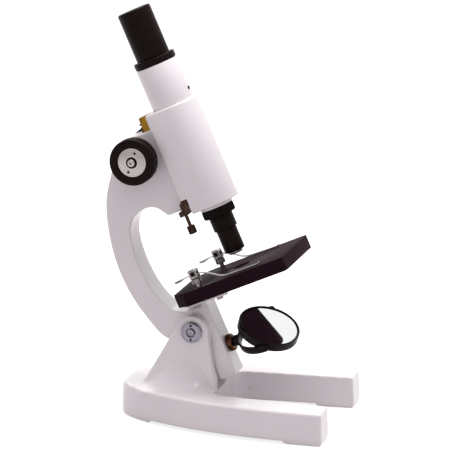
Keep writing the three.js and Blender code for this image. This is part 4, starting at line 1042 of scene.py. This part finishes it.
def makeMirror():
    m = mirrorSpec
    mirrorAt = toUpper @ mirrorPoint
    tiltAxis = toUpper.to_3x3() @ Vector(joints["mirror_tilt"]["axis"])
    spin = math.atan2(tiltAxis.z, tiltAxis.y)
    forkFrame = upperFrame @ Matrix.Translation(mirrorAt) @ Matrix.Rotation(spin, 4, "X")
    cellFrame = forkFrame @ Matrix.Rotation(math.radians(m["tilt"]), 4, "Y")
    radius = m["forkInner"] + m["strip"] / 2
    reach, half = m["reach"], m["forkHalf"]
    stations = [(reach, -radius, m["tipHalf"]), (reach - 0.6, -radius, m["neckHalf"]), (0, -radius, half)]
    stations += [(x, y, half) for x, y in arc(0, 0, radius, 270, 90, 48)[1:-1]]
    stations += [(0, radius, half), (reach - 0.6, radius, m["neckHalf"]), (reach, radius, m["tipHalf"])]
    fork = bevelled(stripPiece("mirrorFork", stations, m["strip"], plane="XY"), 0.35, 2, 40)
    hubRear = -opticalX / mm + upperBox("mirror_nut")[1].x / mm + 0.3
    stemRear = upperBox("mirror_fork")[0].x / mm - opticalX / mm
    hub = turnPiece("hub", [(3, stemRear), (3, hubRear), (4.2, hubRear), (4.6, hubRear + 0.4), (4.6, -28.4),
                            (4.2, -27.1)], 48)
    only(hub)
    hub.rotation_euler = (0, math.radians(90), 0)
    bpy.ops.object.transform_apply(location=True, rotation=True, scale=True)
    joinPieces(fork, hub)
    settle(fork, forkFrame, "framePaint", "fork", ["mirror_fork"])
    cell = turnPiece("mirrorCell", m["cell"], 96, True)
    settle(cell, cellFrame, "framePaint", "mirror", ["mirror_cell"])
    for name, profile, node, side in (("mirrorGlassPlane", "plane", "mirror_glass_plane", 1),
                                      ("mirrorGlassConcave", "concave", "mirror_glass_concave", -1)):
        place = cellFrame @ Matrix.Translation((0, 0, side * m["glassLift"] * mm))
        settle(turnPiece(name, m[profile], 96), place, "mirror", "mirror", [node])
    nut = turnPiece("mirrorNut", m["nut"], 40, True)
    flutes(nut, lambda c: math.hypot(c.x, c.y) > 6.9 and 0.7 < c.z < 4.2, 0.14, 0.3)
    low = upperBox("mirror_nut")[0]
    place = upperFrame @ Matrix.Translation((low.x, 0, mirrorAt.z)) @ Matrix.Rotation(math.radians(90), 4, "Y")
    settle(nut, place, "bronzeNut", "arm", ["mirror_nut"])
    screw = turnPiece("mirrorScrewNear", m["screw"], 32)
    cutBy(screw, boxPiece("slotCut", (-3, -0.3, 2.9), (3, 0.3, 5)))
    far = copyOf(screw, "mirrorScrewFar")
    for each, node, side in ((screw, "mirror_screw_near", -1), (far, "mirror_screw_far", 1)):
        place = axisFrame(forkFrame, Vector((0, 0, 0)), side) @ Matrix.Translation((0, 0, m["screwFrom"] * mm))
        settle(each, place, "framePaint", "fork", [node])


makeMirror()
print("mirror made")

# Rack stop: bracket and knurled screw
stopScrew = {
    "head": [(2.3, 1.8), (3, 2), (3.4, 2.6), (3.4, 8.2), (3, 8.8), (2.3, 9), (1.45, 9)],
    "neck": 1.45, "thread": 1.9, "steps": 36,
}
low, high = upperBox("rack_stop_screw")
# The neck widens to the thread just inside the bracket
enters = (upperBox("rack_stop_block")[0].z - low.z) / mm
top, thread = (high.z - low.z) / mm, stopScrew["thread"]
shank = [(stopScrew["neck"], enters), (thread, enters + 0.5), (thread, top - 0.3), (thread - 0.4, top)]
screw = turnPiece("rackStopScrew", stopScrew["head"] + shank, stopScrew["steps"])
flutes(screw, lambda c: math.hypot(c.x, c.y) > 3.2 and 3 < c.z < 8, 0.12, 0.25)
stopAt = upperPoint("stop_screw_turn")
place = upperFrame @ Matrix.Translation((stopAt.x, stopAt.y, low.z))
settle(screw, place, "bronzeStop", "stop_screw", ["rack_stop_screw"])
block = bevelled(cadCopy("rackStopBlock", "rack_stop_block"), 0.35, 2, 40)
settle(block, Matrix.Identity(4), "bronzeStop", "arm", ["rack_stop_block"], 40)
slide = bevelled(cadCopy("focusSlide", "focus_slide"), 0.4, 2, 40)
settle(slide, Matrix.Identity(4), "brass", "body_tube", ["focus_slide"], 40)

# CAD nodes that keep their own shape
kept = {
    # The rack takes the dark stop bronze as painted shade for the shadow it sits in
    "pinion_shaft": "nickelPinion", "focus_rack": "bronzeStop", "stage_screw_near": "nickelClipNear",
    "stage_screw_far": "nickelClipFar",
}
for node, material in kept.items():
    mesh = frame["nodes"][node].data
    mesh.materials.clear()
    mesh.materials.append(materials[material])
print("stop, slide and small parts made")

# Floor, light and world
setting = {
    "floorSize": 6, "floorColour": "#b9b6b8", "floorGlow": 0.78, "keyPower": 27, "keySize": 1.1,
    "keyAt": (0.15, 0.1, 1.8), "backPower": 6, "backSize": 1.2, "backAt": (-0.5, 1.5, 1.3),
    "worldColour": "#f1ebee", "worldStrength": 0.64,
}
startPiece()
bpy.ops.mesh.primitive_plane_add(size=setting["floorSize"], location=(0, 0, -0.0002))
floor = bpy.context.object
floor.name = "floor"
material, tree, place, output = newMaterial("matt_white_sweep")
paper = addNode(tree, "ShaderNodeBsdfDiffuse", {"Color": linear(setting["floorColour"])})
glow = addNode(tree, "ShaderNodeEmission", {"Color": (1, 1, 1, 1), "Strength": setting["floorGlow"]})
path = addNode(tree, "ShaderNodeLightPath")
direct = {0: (path, "Is Camera Ray"), 1: (path, "Is Glossy Ray")}
seen = addNode(tree, "ShaderNodeMath", {"operation": "MAXIMUM"}, direct)
lit = addNode(tree, "ShaderNodeAddShader", None, {0: (paper, 0), 1: (glow, 0)})
mixed = addNode(tree, "ShaderNodeMixShader", None, {0: (seen, 0), 1: (paper, 0), 2: (lit, 0)})
tree.links.new(mixed.outputs[0], output.inputs[0])
floor.data.materials.append(material)

world = bpy.data.worlds.new("studio")
world.use_nodes = True
bpy.context.scene.world = world
tree = world.node_tree
tree.nodes.clear()
output = addNode(tree, "ShaderNodeOutputWorld")
path = addNode(tree, "ShaderNodeLightPath")
# Camera, mirror and glass see a plain white studio; the softer value lights the surfaces
ambient = addNode(
    tree, "ShaderNodeBackground",
    {"Color": linear(setting["worldColour"]), "Strength": setting["worldStrength"]},
)
white = addNode(tree, "ShaderNodeBackground", {"Color": (1, 1, 1, 1), "Strength": 1.0})
direct = {0: (path, "Is Camera Ray"), 1: (path, "Is Glossy Ray")}
seen = addNode(tree, "ShaderNodeMath", {"operation": "MAXIMUM"}, direct)
throughGlass = {0: (seen, 0), 1: (path, "Is Transmission Ray")}
seen = addNode(tree, "ShaderNodeMath", {"operation": "MAXIMUM"}, throughGlass)
mixed = addNode(tree, "ShaderNodeMixShader", None, {0: (seen, 0), 1: (ambient, 0), 2: (white, 0)})
tree.links.new(mixed.outputs[0], output.inputs[0])


def softBox(name, power, size, place):
    startPiece()
    aim = (Vector((0, 0, 0.16)) - Vector(place)).to_track_quat("-Z", "Y").to_euler()
    bpy.ops.object.light_add(type="AREA", location=place, rotation=aim)
    lamp = bpy.context.object
    lamp.name = name
    lamp.data.energy = power
    lamp.data.size = size


softBox("key", setting["keyPower"], setting["keySize"], setting["keyAt"])
softBox("back", setting["backPower"], setting["backSize"], setting["backAt"])
bpy.context.scene.view_settings.view_transform = "Standard"
print("setting made")
